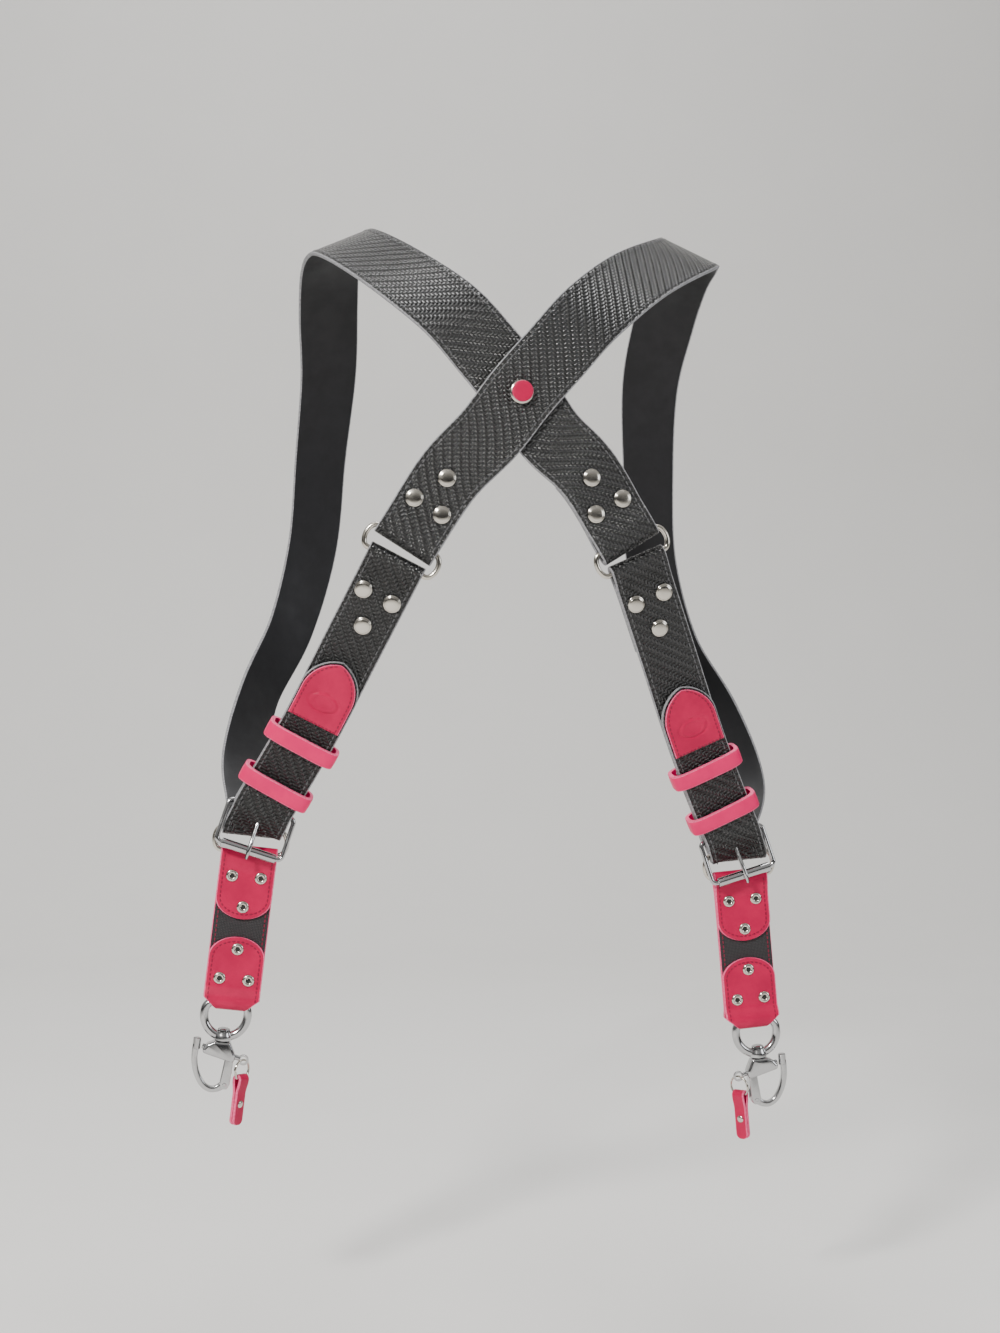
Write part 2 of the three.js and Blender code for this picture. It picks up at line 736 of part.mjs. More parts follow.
function prongShape(side, grown = 0) {
  const radius = prongWire / 2 + grown;
  const eye = [];
  const reach = buckleWire / 2 + clearance + prongWire / 2;
  const eyeSteps = 10;
  for (let i = 0; i < eyeSteps; i++) {
    const turn = (i / eyeSteps) * 2 * Math.PI;
    eye.push(new THREE.Vector3(0, reach * Math.cos(turn), reach * Math.sin(turn)));
  }
  const leg = prongRows.map(({ down, off }) => new THREE.Vector3(
    0, -off, -down * buckleLength));
  const across = new THREE.Vector3(1, 0, 0);
  const swung = swungFrame(side);
  return solid(inFrame(wire(eye, radius, 6, across, true), swung.heel, swung, side))
    .add(solid(inFrame(wire(leg, radius, 6, across, false), swung.heel, swung, side)));
}

// A loose leather band round the three layers at a place above the heel bar.
function keeper(side, above) {
  const stops = buckleRoute(side);
  const place = at(stops, stops[stops.length - 1].d - above);
  const middle = lifted(place, folded);
  const stack = 2 * folded + tongueSlack + strapThickness / 2;
  const rings = [];
  const steps = 20;
  for (let i = 0; i < steps; i++) {
    const turn = (i / steps) * 2 * Math.PI;
    const bulge = (value) => Math.sign(value) * Math.sqrt(Math.abs(value));
    const ring = [];
    for (const [grow, slide] of [[0, -1], [1, -1], [1, 1], [0, 1]]) {
      ring.push(middle.clone()
        .addScaledVector(place.across,
          (tongueWidth / 2 + keeperBow + grow * keeperThickness) * bulge(Math.cos(turn)))
        .addScaledVector(place.n,
          (stack + keeperRise + grow * keeperThickness) * bulge(Math.sin(turn)))
        .addScaledVector(place.along, slide * keeperWidth / 2));
    }
    rings.push(ring);
  }
  return skin(rings, true);
}

// The patch lies on the tongue's point.
function tipPatch(side) {
  const stops = buckleRoute(side);
  const heelAt = stops[stops.length - 1].d;
  const seat = strapThickness / 2 + clearance + patchThickness / 2;
  const top = tongueReach - patchMargin;
  const sloped = tipShares.map((q) => top - q * tipLength);
  const stations = [patchFoot, (patchFoot + sloped[0]) / 2, ...sloped].map((above) => {
    const stop = at(stops, heelAt - above);
    const half = tipHalf(top - above, tongueWidth / 2 - patchMargin, tipLength);
    return { p: lifted(stop, tongueHeight(above) + seat), n: stop.n, half: Math.max(half, 0.8) };
  });
  return ribbon(stations, patchThickness);
}

// Camera tab, drawn about the hip ring's lower bar: X outward, Y forward, Z up

const tabFolded = (tabThickness + clearance) / 2;
const tabTopFold = ringWire / 2 + clearance + tabThickness / 2;
const tabFootFold = eyeWire / 2 + clearance + tabThickness / 2;
const tabTop = tabTopFold + tabThickness / 2;
const tabFoot = tabTop - tabLength;
const footFoldAt = tabFoot + tabThickness / 2 + tabFootFold;
const eyeAt = footFoldAt - eyeRise;

function tabDepth(z) {
  const fromTop = THREE.MathUtils.lerp(tabTopFold, tabFolded, ease((-z - 2.5) / 10));
  const fromFoot = THREE.MathUtils.lerp(tabFootFold, tabFolded, ease((z - footFoldAt - 2) / 7));
  return Math.max(fromTop, fromFoot);
}

function tabHalf(z) {
  return THREE.MathUtils.lerp(tabFootWidth / 2, tabWidth / 2,
    THREE.MathUtils.clamp((z - tabFoot) / tabFootHeight, 0, 1));
}

function cameraTab(side) {
  const stations = [];
  const face = new THREE.Vector3(0, -1, 0);
  const back = new THREE.Vector3(0, 1, 0);
  const round = (fromEnd) => Math.sqrt(1 - (1 - Math.min(fromEnd / tabRound, 1)) ** 2);
  const flat = (z, n, share = 1) => stations.push({
    p: new THREE.Vector3(0, n.y * tabDepth(z), z),
    n,
    half: Math.max(tabHalf(z) * share, 0.8),
  });
  const roundSteps = [0.002, 0.04, 0.14, 0.35, 1].map((share) => share * tabRound);
  const upperEnd = tabTop - tabFlap;
  const lowerEnd = tabFoot + tabFlap;
  const turnSteps = 6;
  for (const step of roundSteps) flat(upperEnd + step, face, round(step));
  for (const z of [-13, -9, -6, -3]) flat(z, face);
  for (let i = 0; i <= turnSteps; i++) {
    const turn = (i / turnSteps) * Math.PI;
    const n = new THREE.Vector3(0, -Math.cos(turn), Math.sin(turn));
    stations.push({ p: n.clone().multiplyScalar(tabTopFold), n, half: tabWidth / 2 });
  }
  for (const z of [-3, -6, -9, -13]) flat(z, back);
  for (const up of [9, 6.5, 4.5, 2.3]) flat(footFoldAt + up, back);
  for (let i = 0; i <= turnSteps; i++) {
    const turn = (i / turnSteps) * Math.PI;
    const n = new THREE.Vector3(0, Math.cos(turn), -Math.sin(turn));
    const p = n.clone().multiplyScalar(tabFootFold).add(new THREE.Vector3(0, 0, footFoldAt));
    stations.push({ p, n, half: tabHalf(footFoldAt - tabFootFold * Math.sin(turn)) });
  }
  for (const up of [2.3, 4.5, 6.5, 9]) flat(footFoldAt + up, face);
  for (const step of [...roundSteps].reverse()) flat(lowerEnd - step, face, round(step));
  const holes = tabRivetPlaces().map((place) => bore(place, tabRivetShank / 2 + clearance));
  const eye = solid(wire(eyeLoop(), eyeWire / 2 + clearance, 6, UP, true).translate(side * eyeOut, 0, eyeAt));
  return cutAll(solid(ribbon(stations, tabThickness)), [...holes, eye]);
}

function tabRivetPlaces() {
  const n = new THREE.Vector3(0, -1, 0);
  const places = [];
  for (const [end, into] of [[tabTop, -1], [tabFoot, 1]]) {
    places.push({ p: new THREE.Vector3(-tabRivetRow, 0, end + into * tabRivetPair), n });
    places.push({ p: new THREE.Vector3(tabRivetRow, 0, end + into * tabRivetPair), n });
    places.push({ p: new THREE.Vector3(0, 0, end + into * tabRivetApex), n });
  }
  return places;
}

// Snap shackle, drawn about the middle of its eye: X to the viewer's right, Y forward, Z up.
// out is +1 or -1, the way that X points outward.

function eyeLoop() {
  const points = [];
  const steps = 16;
  for (let i = 0; i < steps; i++) {
    const turn = (i / steps) * 2 * Math.PI;
    const [x, z] = [Math.cos(turn), Math.sin(turn)];
    const flatter = z > 0 ? (Math.abs(x) ** 3 + z ** 3) ** (1 / 3) : 1;
    points.push(new THREE.Vector3(
      eyeReach * x / flatter, 0, (z > 0 ? eyeRise : eyeReach) * z / flatter));
  }
  return points;
}

const hubTop = -eyeReach + eyeWire / 2 + 0.4;
const hubFoot = -eyeReach - eyeWire / 2 + 0.2;

function shackleEye() {
  const hub = solid(rod(new THREE.Vector3(0, 0, hubFoot), new THREE.Vector3(0, 0, hubTop), hubRadius));
  const hole = solid(rod(
    new THREE.Vector3(0, 0, hubFoot - 1), new THREE.Vector3(0, 0, hubTop + 1), postRadius + clearance));
  return solid(wire(eyeLoop(), eyeWire / 2, 6, UP, true)).add(hub).subtract(hole);
}

const bellFoot = -bellTop - bellHeight;
const pinSlope = Math.tan(rad(pinTilt));
const pinMiddle = -bellTop - bellHeight * 0.55;
const armOut = -bellHalfWidth + armWidth / 2 + 2;

function shackleBody(out) {
  const lower = (x) => bellFoot + 2 + x * pinSlope;
  const bell = plate([
    [-4.5, -bellTop], [4.5, -bellTop], [bellHalfWidth - 1, -bellTop - 2], [bellHalfWidth + 1.5, -bellTop - 5],
    [bellHalfWidth + 1, lower(bellHalfWidth)], [-bellHalfWidth + 1.5, lower(-bellHalfWidth)],
    [-bellHalfWidth + 1.5, -bellTop - 7], [-bellHalfWidth + 3.5, -bellTop - 3],
  ].map(([x, z]) => [out * x, z]), bellDepth, 0.9);
  const armTop = lower(armOut) + 2;
  const arm = plate([
    [armOut - armWidth / 2, armTop], [armOut + armWidth / 2, armTop],
    [-pivotIn + bossRadius, -pivotDown], [-pivotIn - bossRadius, -pivotDown],
  ].map(([x, z]) => [out * x, z]), bellDepth - 1, 0);
  const pivot = new THREE.Vector3(-out * pivotIn, 0, -pivotDown);
  const half = new THREE.Vector3(0, (bellDepth - 1) / 2, 0);
  const boss = solid(rod(pivot.clone().sub(half), pivot.clone().add(half), bossRadius));
  const slotTop = -pivotDown + bossRadius + 1.2;
  const slotFoot = -pivotDown - 2 * bossRadius;
  const slotWide = 6 * bossRadius;
  const slot = solid(new THREE.BoxGeometry(slotWide, gateDepth + 2 * clearance, slotTop - slotFoot)
    .translate(pivot.x, 0, (slotTop + slotFoot) / 2));
  const hinge = solid(rod(pivot.clone().sub(half), pivot.clone().add(half), pivotRadius));
  const post = solid(rod(new THREE.Vector3(0, 0, -bellTop - 1), new THREE.Vector3(0, 0, hubTop + 1), postRadius));
  const head = solid(rod(
    new THREE.Vector3(0, 0, hubTop + clearance), new THREE.Vector3(0, 0, hubTop + 2.2), postHead));
  const hole = solid(rod(pinPlace(out, -20), pinPlace(out, 20), pinRadius + clearance));
  return solid(bell).add(solid(arm)).add(boss).subtract(slot).add(hinge).add(post).add(head).subtract(hole);
}

// A place on the plunger pin's line, by its distance outward from the swivel's axis.
function pinPlace(out, x) {
  return new THREE.Vector3(out * x, 0, pinMiddle + x * pinSlope);
}

// The gate's middle line from the hinge round the foot to the lug: shares of its reach and drop.
const gateRows = [
  { x: -0.26, z: 1 }, { x: 0, z: 1.075 }, { x: 0.3, z: 1.09 }, { x: 0.6, z: 1.02 },
  { x: 0.85, z: 0.87 }, { x: 0.98, z: 0.7 }, { x: 1, z: 0.56 }, { x: 0.97, z: 0.46 },
];

function gate(out) {
  const curve = new THREE.CatmullRomCurve3(
    gateRows.map(({ x, z }) => new THREE.Vector3(x * gateReach, 0, -z * pivotDown)), false, 'catmullrom', 0.5);
  const steps = 9;
  const outer = [];
  const inner = [];
  for (let i = 0; i <= steps; i++) {
    const p = curve.getPoint(i / steps);
    const along = curve.getTangent(i / steps);
    outer.push([p.x + along.z * gateThickness / 2, p.z - along.x * gateThickness / 2]);
    inner.push([p.x - along.z * gateThickness / 2, p.z + along.x * gateThickness / 2]);
  }
  const outline = [...outer, ...inner.reverse()].map(([x, z]) => [out * x, z]);
  const pivot = new THREE.Vector3(-out * pivotIn, 0, -pivotDown);
  const half = new THREE.Vector3(0, gateDepth / 2, 0);
  const boss = solid(rod(pivot.clone().sub(half), pivot.clone().add(half), bossRadius - clearance));
  const hole = solid(rod(
    pivot.clone().addScaledVector(half, -2), pivot.clone().addScaledVector(half, 2), pivotRadius + clearance));
  const top = gateRows[gateRows.length - 1];
  const lugAt = new THREE.Vector3(out * top.x * gateReach, 0, -top.z * pivotDown);
  const lug = solid(rod(
    lugAt.clone().add(new THREE.Vector3(0, 0, -lugHeight / 2)),
    lugAt.clone().add(new THREE.Vector3(0, 0, lugHeight / 2)), lugRadius));
  return solid(plate(outline, gateDepth, 0.7)).add(boss).add(lug).subtract(hole);
}

const pinHeadAt = -bellHalfWidth - pinHeadOut;
const pinTip = gateRows[gateRows.length - 1].x * gateReach - lugRadius - 3 * clearance;

function plungerPin(out) {
  const pin = solid(rod(pinPlace(out, pinHeadAt), pinPlace(out, pinTip), pinRadius));
  const head = pinPlace(out, pinHeadAt);
  const half = new THREE.Vector3(0, pinHeadThickness / 2, 0);
  const disc = solid(rod(head.clone().sub(half), head.clone().add(half), pinHeadRadius));
  const hole = solid(rod(
    head.clone().addScaledVector(half, -2), head.clone().addScaledVector(half, 2), pinHoleRadius));
  return pin.add(disc).subtract(hole);
}

// The pull ring hangs in the pin's head; its plane holds the way m.
function pullDirections(out) {
  const m = new THREE.Vector3(out * Math.sin(rad(pullTurn)), -Math.cos(rad(pullTurn)), 0);
  return { m, k: new THREE.Vector3(-m.y, m.x, 0) };
}

function pullRing(out) {
  const { m, k } = pullDirections(out);
  const centre = pinPlace(out, pinHeadAt).add(new THREE.Vector3(0, 0, -pullRingRadius));
  const points = [];
  const steps = 12;
  for (let i = 0; i < steps; i++) {
    const turn = (i / steps) * 2 * Math.PI;
    points.push(centre.clone()
      .addScaledVector(m, pullRingRadius * Math.cos(turn))
      .add(new THREE.Vector3(0, 0, pullRingRadius * Math.sin(turn))));
  }
  return wire(points, pullRingWire / 2, 6, k, true);
}

function pullTab(out) {
  const { m, k } = pullDirections(out);
  const rise = pullRingRadius - Math.sqrt(pullRingRadius ** 2 - (pullTabWidth / 2) ** 2);
  const bend = pinPlace(out, pinHeadAt).add(new THREE.Vector3(0, 0, rise - 2 * pullRingRadius));
  const open = pullRingWire / 2 + clearance + pullTabThickness / 2 + 0.5;
  const shut = (pullTabThickness + clearance) / 2;
  const stations = [];
  const layer = (sign, z) => {
    const spread = THREE.MathUtils.lerp(open, shut, ease((-z - 1) / 8));
    stations.push({
      p: bend.clone().addScaledVector(k, sign * spread).add(new THREE.Vector3(0, 0, z)),
      n: k.clone().multiplyScalar(sign),
      half: pullTabWidth / 2,
    });
  };
  const rows = [-1, -3, -5, -7, -9, -16, -pullTabLength];
  for (const z of [...rows].reverse()) layer(-1, z);
  const turnSteps = 6;
  for (let i = 0; i <= turnSteps; i++) {
    const turn = (i / turnSteps) * Math.PI;
    const n = k.clone().multiplyScalar(-Math.cos(turn)).add(new THREE.Vector3(0, 0, Math.sin(turn)));
    stations.push({ p: bend.clone().addScaledVector(n, open), n, half: pullTabWidth / 2 });
  }
  for (const z of rows) layer(1, z);
  return ribbon(stations, pullTabThickness);
}

// Assembly

const black = leather(0x1c1c1f);
const pink = leather(0xe60a50);
const brightPink = leather(0xff286e);
const nickel = metal(0xc8c4b8);
const chrome = metal(0xd8dadc);

const sides = [['left', -1], ['right', 1]];

for (const [name, side] of sides) {
  piece(`long_strap_${name}`, longStrap(side), black);
  piece(`buckle_strap_${name}`, buckleStrap(side), black);
  piece(`back_ring_${name}`, backRingShape(side), nickel);
  piece(`buckle_frame_${name}`, buckleFrameShape(side), nickel);
  piece(`buckle_roller_${name}`, rollerShape(side), nickel);
  piece(`buckle_prong_${name}`, prongShape(side), nickel);
  piece(`hip_ring_${name}`, hipRingShape(side), nickel);
  piece(`tip_patch_${name}`, tipPatch(side), pink);
  keeperPlaces.forEach((above, i) => {
    piece(`keeper_${name}_${i + 1}`, keeper(side, above), brightPink);
  });

  const folds = [
    ['strap_rivet', rivetPlaces(longStrapRoute(-side))],
    ['buckle_strap_rivet', rivetPlaces(buckleRoute(side))],
  ];
  for (const [kind, places] of folds) {
    places.forEach((place, i) => {
      const stack = 2 * strapThickness + clearance;
      const shape = rivetShape(rivetHead / 2, rivetShank / 2, stack, rivetCap);
      setOn(piece(`${kind}_${name}_${i + 1}`, solid(shape), nickel), place);
    });
  }

  const hip = hipFrame(side);
  const tabGroup = frameGroup(`hip_${name}`, hip.lower, hip, side);
  piece(`camera_tab_${name}`, cameraTab(side), pink, tabGroup);
  tabRivetPlaces().forEach((place, i) => {
    const stack = 2 * tabThickness + clearance;
    const shape = rivetShape(tabRivetHead / 2, tabRivetShank / 2, stack, tabRivetCap);
    setOn(piece(`tab_rivet_${name}_${i + 1}`, solid(shape), nickel, tabGroup), place);
  });

  const shackle = new THREE.Group();
  shackle.name = `shackle_${name}`;
  shackle.position.set(side * eyeOut, 0, eyeAt);
  tabGroup.add(shackle);
  piece(`shackle_eye_${name}`, shackleEye(), chrome, shackle);
  piece(`shackle_body_${name}`, shackleBody(side), chrome, shackle);
  piece(`shackle_gate_${name}`, gate(side), chrome, shackle);
  piece(`shackle_pin_${name}`, plungerPin(side), chrome, shackle);
  piece(`pull_ring_${name}`, pullRing(side), chrome, shackle);
  piece(`pull_tab_${name}`, pullTab(side), brightPink, shackle);
}

// The stud joins the straps where they cross.
const studStack = 2 * strapThickness + crossingGap;
const studShape = rivetShape(studHead / 2, rivetShank / 2, studStack, studCap, 14);
setOn(piece('stud_post', solid(studShape), nickel), crossingPlace());
const disc = new THREE.CylinderGeometry(studDisc / 2, studDisc / 2, studDiscHeight, 14);
disc.translate(0, studStack / 2 + 2 * clearance + studCap + studDiscHeight / 2, 0);
setOn(piece('stud_disc', solid(disc), pink), crossingPlace());

export default harness;
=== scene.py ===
"""Looks of a dual camera harness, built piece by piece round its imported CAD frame.

Metres, +Z up. The front is toward +Y and the camera looks at the back, so a strap's
outward normal points mostly toward -Y. Side -1 is on the viewer's left and +1 on the right.
"""

import math

import bmesh
import bpy
import numpy as np
from mathutils import Matrix, Vector


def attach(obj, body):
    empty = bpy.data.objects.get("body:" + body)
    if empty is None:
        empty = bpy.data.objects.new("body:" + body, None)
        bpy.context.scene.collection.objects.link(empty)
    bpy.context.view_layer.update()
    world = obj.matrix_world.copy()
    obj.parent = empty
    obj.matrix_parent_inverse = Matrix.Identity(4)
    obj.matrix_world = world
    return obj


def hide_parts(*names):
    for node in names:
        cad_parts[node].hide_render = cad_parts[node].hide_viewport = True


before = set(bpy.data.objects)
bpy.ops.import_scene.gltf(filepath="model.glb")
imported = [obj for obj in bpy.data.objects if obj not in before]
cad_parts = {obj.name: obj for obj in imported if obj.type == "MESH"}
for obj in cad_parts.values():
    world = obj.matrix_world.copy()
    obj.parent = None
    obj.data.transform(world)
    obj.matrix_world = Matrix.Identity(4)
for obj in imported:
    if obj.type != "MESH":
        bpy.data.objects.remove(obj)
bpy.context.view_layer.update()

MM = 0.001
SIDES = (("left", -1), ("right", 1))


# Long straps
# One length of 40 mm leather, embossed on its outer face as glossy black twill and stitched
# near both cut edges. It is folded and riveted round a back ring, crosses the other strap,
# goes over the shoulder and down the chest, turns up round the hip ring and ends as the tongue.

# Surfaces: every mesh below is a grid of rings laid out by numpy in one go.


def unit(rows):
    """Each row divided by its own length."""
    return rows / np.linalg.norm(rows, axis=-1, keepdims=True)


def ease(x):
    """Smooth step: 3 t squared less 2 t cubed, with t held between 0 and 1."""
    t = np.clip(x, 0, 1)
    return t * t * (3 - 2 * t)


def through(rows, per):
    """A curve through the rows: uniform Catmull-Rom, with reflected end rows."""
    rows = np.asarray(rows, float)
    spans = len(rows) - 1
    q = np.vstack([2 * rows[0] - rows[1], rows, 2 * rows[-1] - rows[-2]])
    t = np.arange(spans * per + 1) / per
    i = np.minimum(t.astype(int), spans - 1)
    f = (t - i)[:, None]
    a, b, c, d = q[i], q[i + 1], q[i + 2], q[i + 3]
    return 0.5 * (
        2 * b + (c - a) * f + (2 * a - 5 * b + 4 * c - d) * f**2 + (3 * b - a - 3 * c + d) * f**3
    )


def grid_mesh(name, points, materials, material_index=None, uv=None, closed=False):
    """A skin over rings of points, shape (rings, corners, 3), each ring a closed loop.

    Quad (i, j) joins ring i to ring i + 1 and corner j to corner j + 1. material_index and
    uv are given per corner of the loop and per grid point.
    """
    rings, corners = points.shape[:2]
    spans = rings if closed else rings - 1
    i, j = np.meshgrid(np.arange(spans), np.arange(corners), indexing="ij")
    k, m = (i + 1) % rings, (j + 1) % corners
    quads = np.stack([i * corners + j, i * corners + m, k * corners + m, k * corners + j], -1)
    quads = quads.reshape(-1, 4)
    faces = quads.tolist()
    if not closed:
        faces.append(list(range(corners))[::-1])
        faces.append(list(range((rings - 1) * corners, rings * corners)))
    mesh = bpy.data.meshes.new(name)
    mesh.from_pydata(points.reshape(-1, 3).tolist(), [], faces)
    for material in materials:
        mesh.materials.append(material)
    if material_index is not None:
        index = np.zeros(len(faces), int)
        index[: len(quads)] = np.broadcast_to(material_index, (spans, corners)).ravel()
        if not closed:
            index[len(quads):] = len(materials) - 1
        mesh.polygons.foreach_set("material_index", index)
    if uv is not None:
        layer = mesh.uv_layers.new(name="strap")
        u = np.stack([uv[0][i, j], uv[0][i, m], uv[0][k, m], uv[0][k, j]], -1).ravel()
        v = np.stack([uv[1][i, j], uv[1][i, m], uv[1][k, m], uv[1][k, j]], -1).ravel()
        flat = np.zeros((len(mesh.loops), 2))
        flat[: len(u), 0] = u
        flat[: len(v), 1] = v
        layer.data.foreach_set("uv", flat.ravel())
    finish_mesh(mesh)
    return add(name, mesh)


SHARP_ANGLE = math.radians(40)


def finish_mesh(mesh):
    """Outward faces and smooth shading that keeps edges sharper than 40 degrees."""
    work = bmesh.new()
    work.from_mesh(mesh)
    bmesh.ops.recalc_face_normals(work, faces=work.faces)
    work.to_mesh(mesh)
    work.free()
    mesh.polygons.foreach_set("use_smooth", np.full(len(mesh.polygons), True))
    mesh.set_sharp_from_angle(angle=SHARP_ANGLE)
    mesh.update()


def add(name, mesh):
    """An object for the mesh, at the origin."""
    obj = bpy.data.objects.new(name, mesh)
    bpy.context.scene.collection.objects.link(obj)
    return obj


def place(obj, body, slot, *nodes):
    """The piece rides on a body and stands for CAD nodes, which are hidden. The slot argument is not used."""
    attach(obj, body)
    if nodes:
        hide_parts(*nodes)
    return obj


def arc_profile(thickness, radius, flats):
    """Loop round a strip's section: share of the half width, inset, height and part of each corner.

    The outer flat runs from one side to the other, two quarter rounds lead to the inner flat,
    and two more lead back. The part is 0 outside, 1 inside and 2 on the cut edge.
    """
    share = np.linspace(-1, 1, flats)
    turn = np.radians(np.linspace(90, 0, 5)[1:-1])
    top, one = thickness / 2, np.ones(len(turn))
    inset, high = radius * (np.cos(turn) - 1), top - radius * (1 - np.sin(turn))
    shares = np.concatenate([share, one, one, share[::-1], -one, -one])
    across = radius * share
    insets = np.concatenate([-across, inset, inset[::-1], -across[::-1], -inset, -inset[::-1]])
    flat = np.full(flats, top)
    heights = np.concatenate([flat, high, -high[::-1], -flat, -high, high[::-1]])
    outer, inner, edge = 0, 1, 2
    part = np.repeat([outer, edge, edge, inner, edge, edge], [flats, len(turn), len(turn)] * 2)
    return shares, insets, heights, np.maximum(part, np.roll(part, -1))


def strip_frames(p, n):
    """Along, across and outward unit rows of a strip from its middle line and normals."""
    along = unit(np.gradient(p, axis=0))
    across = unit(np.cross(along, n))
    out = unit(np.cross(across, along))
    out *= np.sign(np.sum(out * n, -1, keepdims=True))
    return along, across, out


def strip(name, p, n, half, thickness, radius, materials, flats=9, start=0.0, crown=None):
    """A leather strip: middle line p, outward normals n and half widths, with rounded edges.

    UV holds metres: across the strip and along it. crown lifts the outer face by a function
    of the share of the half width and the distance along.
    """
    _, across, out = strip_frames(p, n)
    step = np.linalg.norm(np.diff(p, axis=0), axis=1)
    v = start + np.concatenate([[0], np.cumsum(step)])
    ca, da, db, part = arc_profile(thickness, radius, flats)
    reach = half[:, None] * ca + da
    height = np.broadcast_to(db, reach.shape).copy()
    if crown is not None:
        height += crown(ca[None, :], v[:, None]) * (db > thickness / 2 - 1e-9)
    points = p[:, None] + across[:, None] * reach[..., None] + out[:, None] * height[..., None]
    uv = (reach, np.broadcast_to(v[:, None], reach.shape))
    return grid_mesh(name, points, materials, part, uv)


def lathe(name, places, profile, materials, sides=40, parts=None):
    """Turned pieces, one at each place (centre, axis): the profile is rows of radius, height."""
    profile = np.asarray(profile, float)
    turn = np.arange(sides) / sides * 2 * math.pi
    verts, faces, index = [], [], []
    rows = len(profile)
    i, j = np.meshgrid(np.arange(rows - 1), np.arange(sides), indexing="ij")
    m = (j + 1) % sides
    quads = np.stack([i * sides + j, i * sides + m, (i + 1) * sides + m, (i + 1) * sides + j], -1)
    for number, (centre, axis) in enumerate(places):
        axis = unit(np.asarray(axis, float))
        side = unit(np.cross(axis, [0.31, 0.12, 0.94]))
        over = np.cross(axis, side)
        ring = side * np.cos(turn)[:, None] + over * np.sin(turn)[:, None]
        radius, height = profile[:, :1, None], profile[:, 1:, None]
        points = np.asarray(centre) + radius * ring + height * axis
        verts.append(points.reshape(-1, 3))
        faces.append(quads.reshape(-1, 4) + number * rows * sides)
        if parts is not None:
            index.append(np.repeat(parts, sides))
    mesh = bpy.data.meshes.new(name)
    mesh.from_pydata(np.vstack(verts).tolist(), [], np.vstack(faces).tolist())
    for material in materials:
        mesh.materials.append(material)
    if parts is not None:
        mesh.polygons.foreach_set("material_index", np.concatenate(index))
    finish_mesh(mesh)
    return add(name, mesh)


def stitches(name, p, along, out, material, length=2.7 * MM, width=0.75 * MM, height=0.28 * MM):
    """One thread float at each place: a squashed capsule lying along the seam."""
    stations = np.linspace(-1, 1, 7)
    fat = np.sqrt(np.clip(1 - stations**4, 0.02, 1))
    turn = np.arange(6) / 6 * 2 * math.pi
    across = unit(np.cross(along, out))
    ring_a = fat[:, None] * np.cos(turn) * width / 2
    ring_b = fat[:, None] * np.sin(turn) * height
    run = stations[:, None] * length / 2 + 0 * ring_a
    shape = (
        run[None, ..., None] * along[:, None, None]
        + ring_a[None, ..., None] * across[:, None, None]
        + ring_b[None, ..., None] * out[:, None, None]
    )
    points = p[:, None, None] + shape
    rows, sides = run.shape
    i, j = np.meshgrid(np.arange(rows - 1), np.arange(sides), indexing="ij")
    m = (j + 1) % sides
    quads = np.stack([i * sides + j, i * sides + m, (i + 1) * sides + m, (i + 1) * sides + j], -1)
    quads = quads.reshape(1, -1, 4) + (np.arange(len(p)) * rows * sides)[:, None, None]
    mesh = bpy.data.meshes.new(name)
    mesh.from_pydata(points.reshape(-1, 3).tolist(), [], quads.reshape(-1, 4).tolist())
    mesh.materials.append(material)
    finish_mesh(mesh)
    return add(name, mesh)


def seam(name, p, n, offset, rise, material, spacing=3.5 * MM, length=2.7 * MM):
    """Evenly spaced stitches beside a strip's middle line, at an offset across it."""
    _, across, out = strip_frames(p, n)
    line = p + across * np.asarray(offset).reshape(-1, 1) + out * rise
    step = np.linalg.norm(np.diff(line, axis=0), axis=1)
    d = np.concatenate([[0], np.cumsum(step)])
    count = max(int(d[-1] / spacing), 2)
    at = (np.arange(count) + 0.5) * d[-1] / count
    pick = lambda rows: np.stack([np.interp(at, d, rows[:, a]) for a in range(3)], 1)
    along = unit(np.gradient(line, axis=0))
    return stitches(name, pick(line), unit(pick(along)), unit(pick(out)), material, length=length)


def joined(name, objects):
    """Several objects made one mesh, under the first one's name."""
    first = objects[0]
    with bpy.context.temp_override(
        active_object=first, object=first, selected_editable_objects=objects, selected_objects=objects
    ):
        bpy.ops.object.join()
    first.name = name
    first.data.name = name
    return first


# Shared shader groups


def group(name, inputs, outputs):
    """An empty shader group with named inputs (name, kind, default) and outputs."""
    tree = bpy.data.node_groups.new(name, "ShaderNodeTree")
    for label, kind, default in inputs:
        made = tree.interface.new_socket(label, in_out="INPUT", socket_type=kind)
        if default is not None:
            made.default_value = default
    for label, kind in outputs:
        tree.interface.new_socket(label, in_out="OUTPUT", socket_type=kind)
    return tree, tree.nodes.new("NodeGroupInput").outputs, tree.nodes.new("NodeGroupOutput").inputs


def math_node(tree, operation, a, b=None):
    """One math node; each operand is a number or a socket."""
    node = tree.nodes.new("ShaderNodeMath")
    node.operation = operation
    for socket, value in zip(node.inputs, (a, b)):
        if value is None:
            continue
        if isinstance(value, (int, float)):
            socket.default_value = value
        else:
            tree.links.new(value, socket)
    return node.outputs[0]


def noise(tree, vector, scale, detail=3.0, roughness=0.5):
    """A noise texture's value."""
    node = tree.nodes.new("ShaderNodeTexNoise")
    node.inputs["Scale"].default_value = scale
    node.inputs["Detail"].default_value = detail
    node.inputs["Roughness"].default_value = roughness
    tree.links.new(vector, node.inputs["Vector"])
    return node.outputs["Fac"]


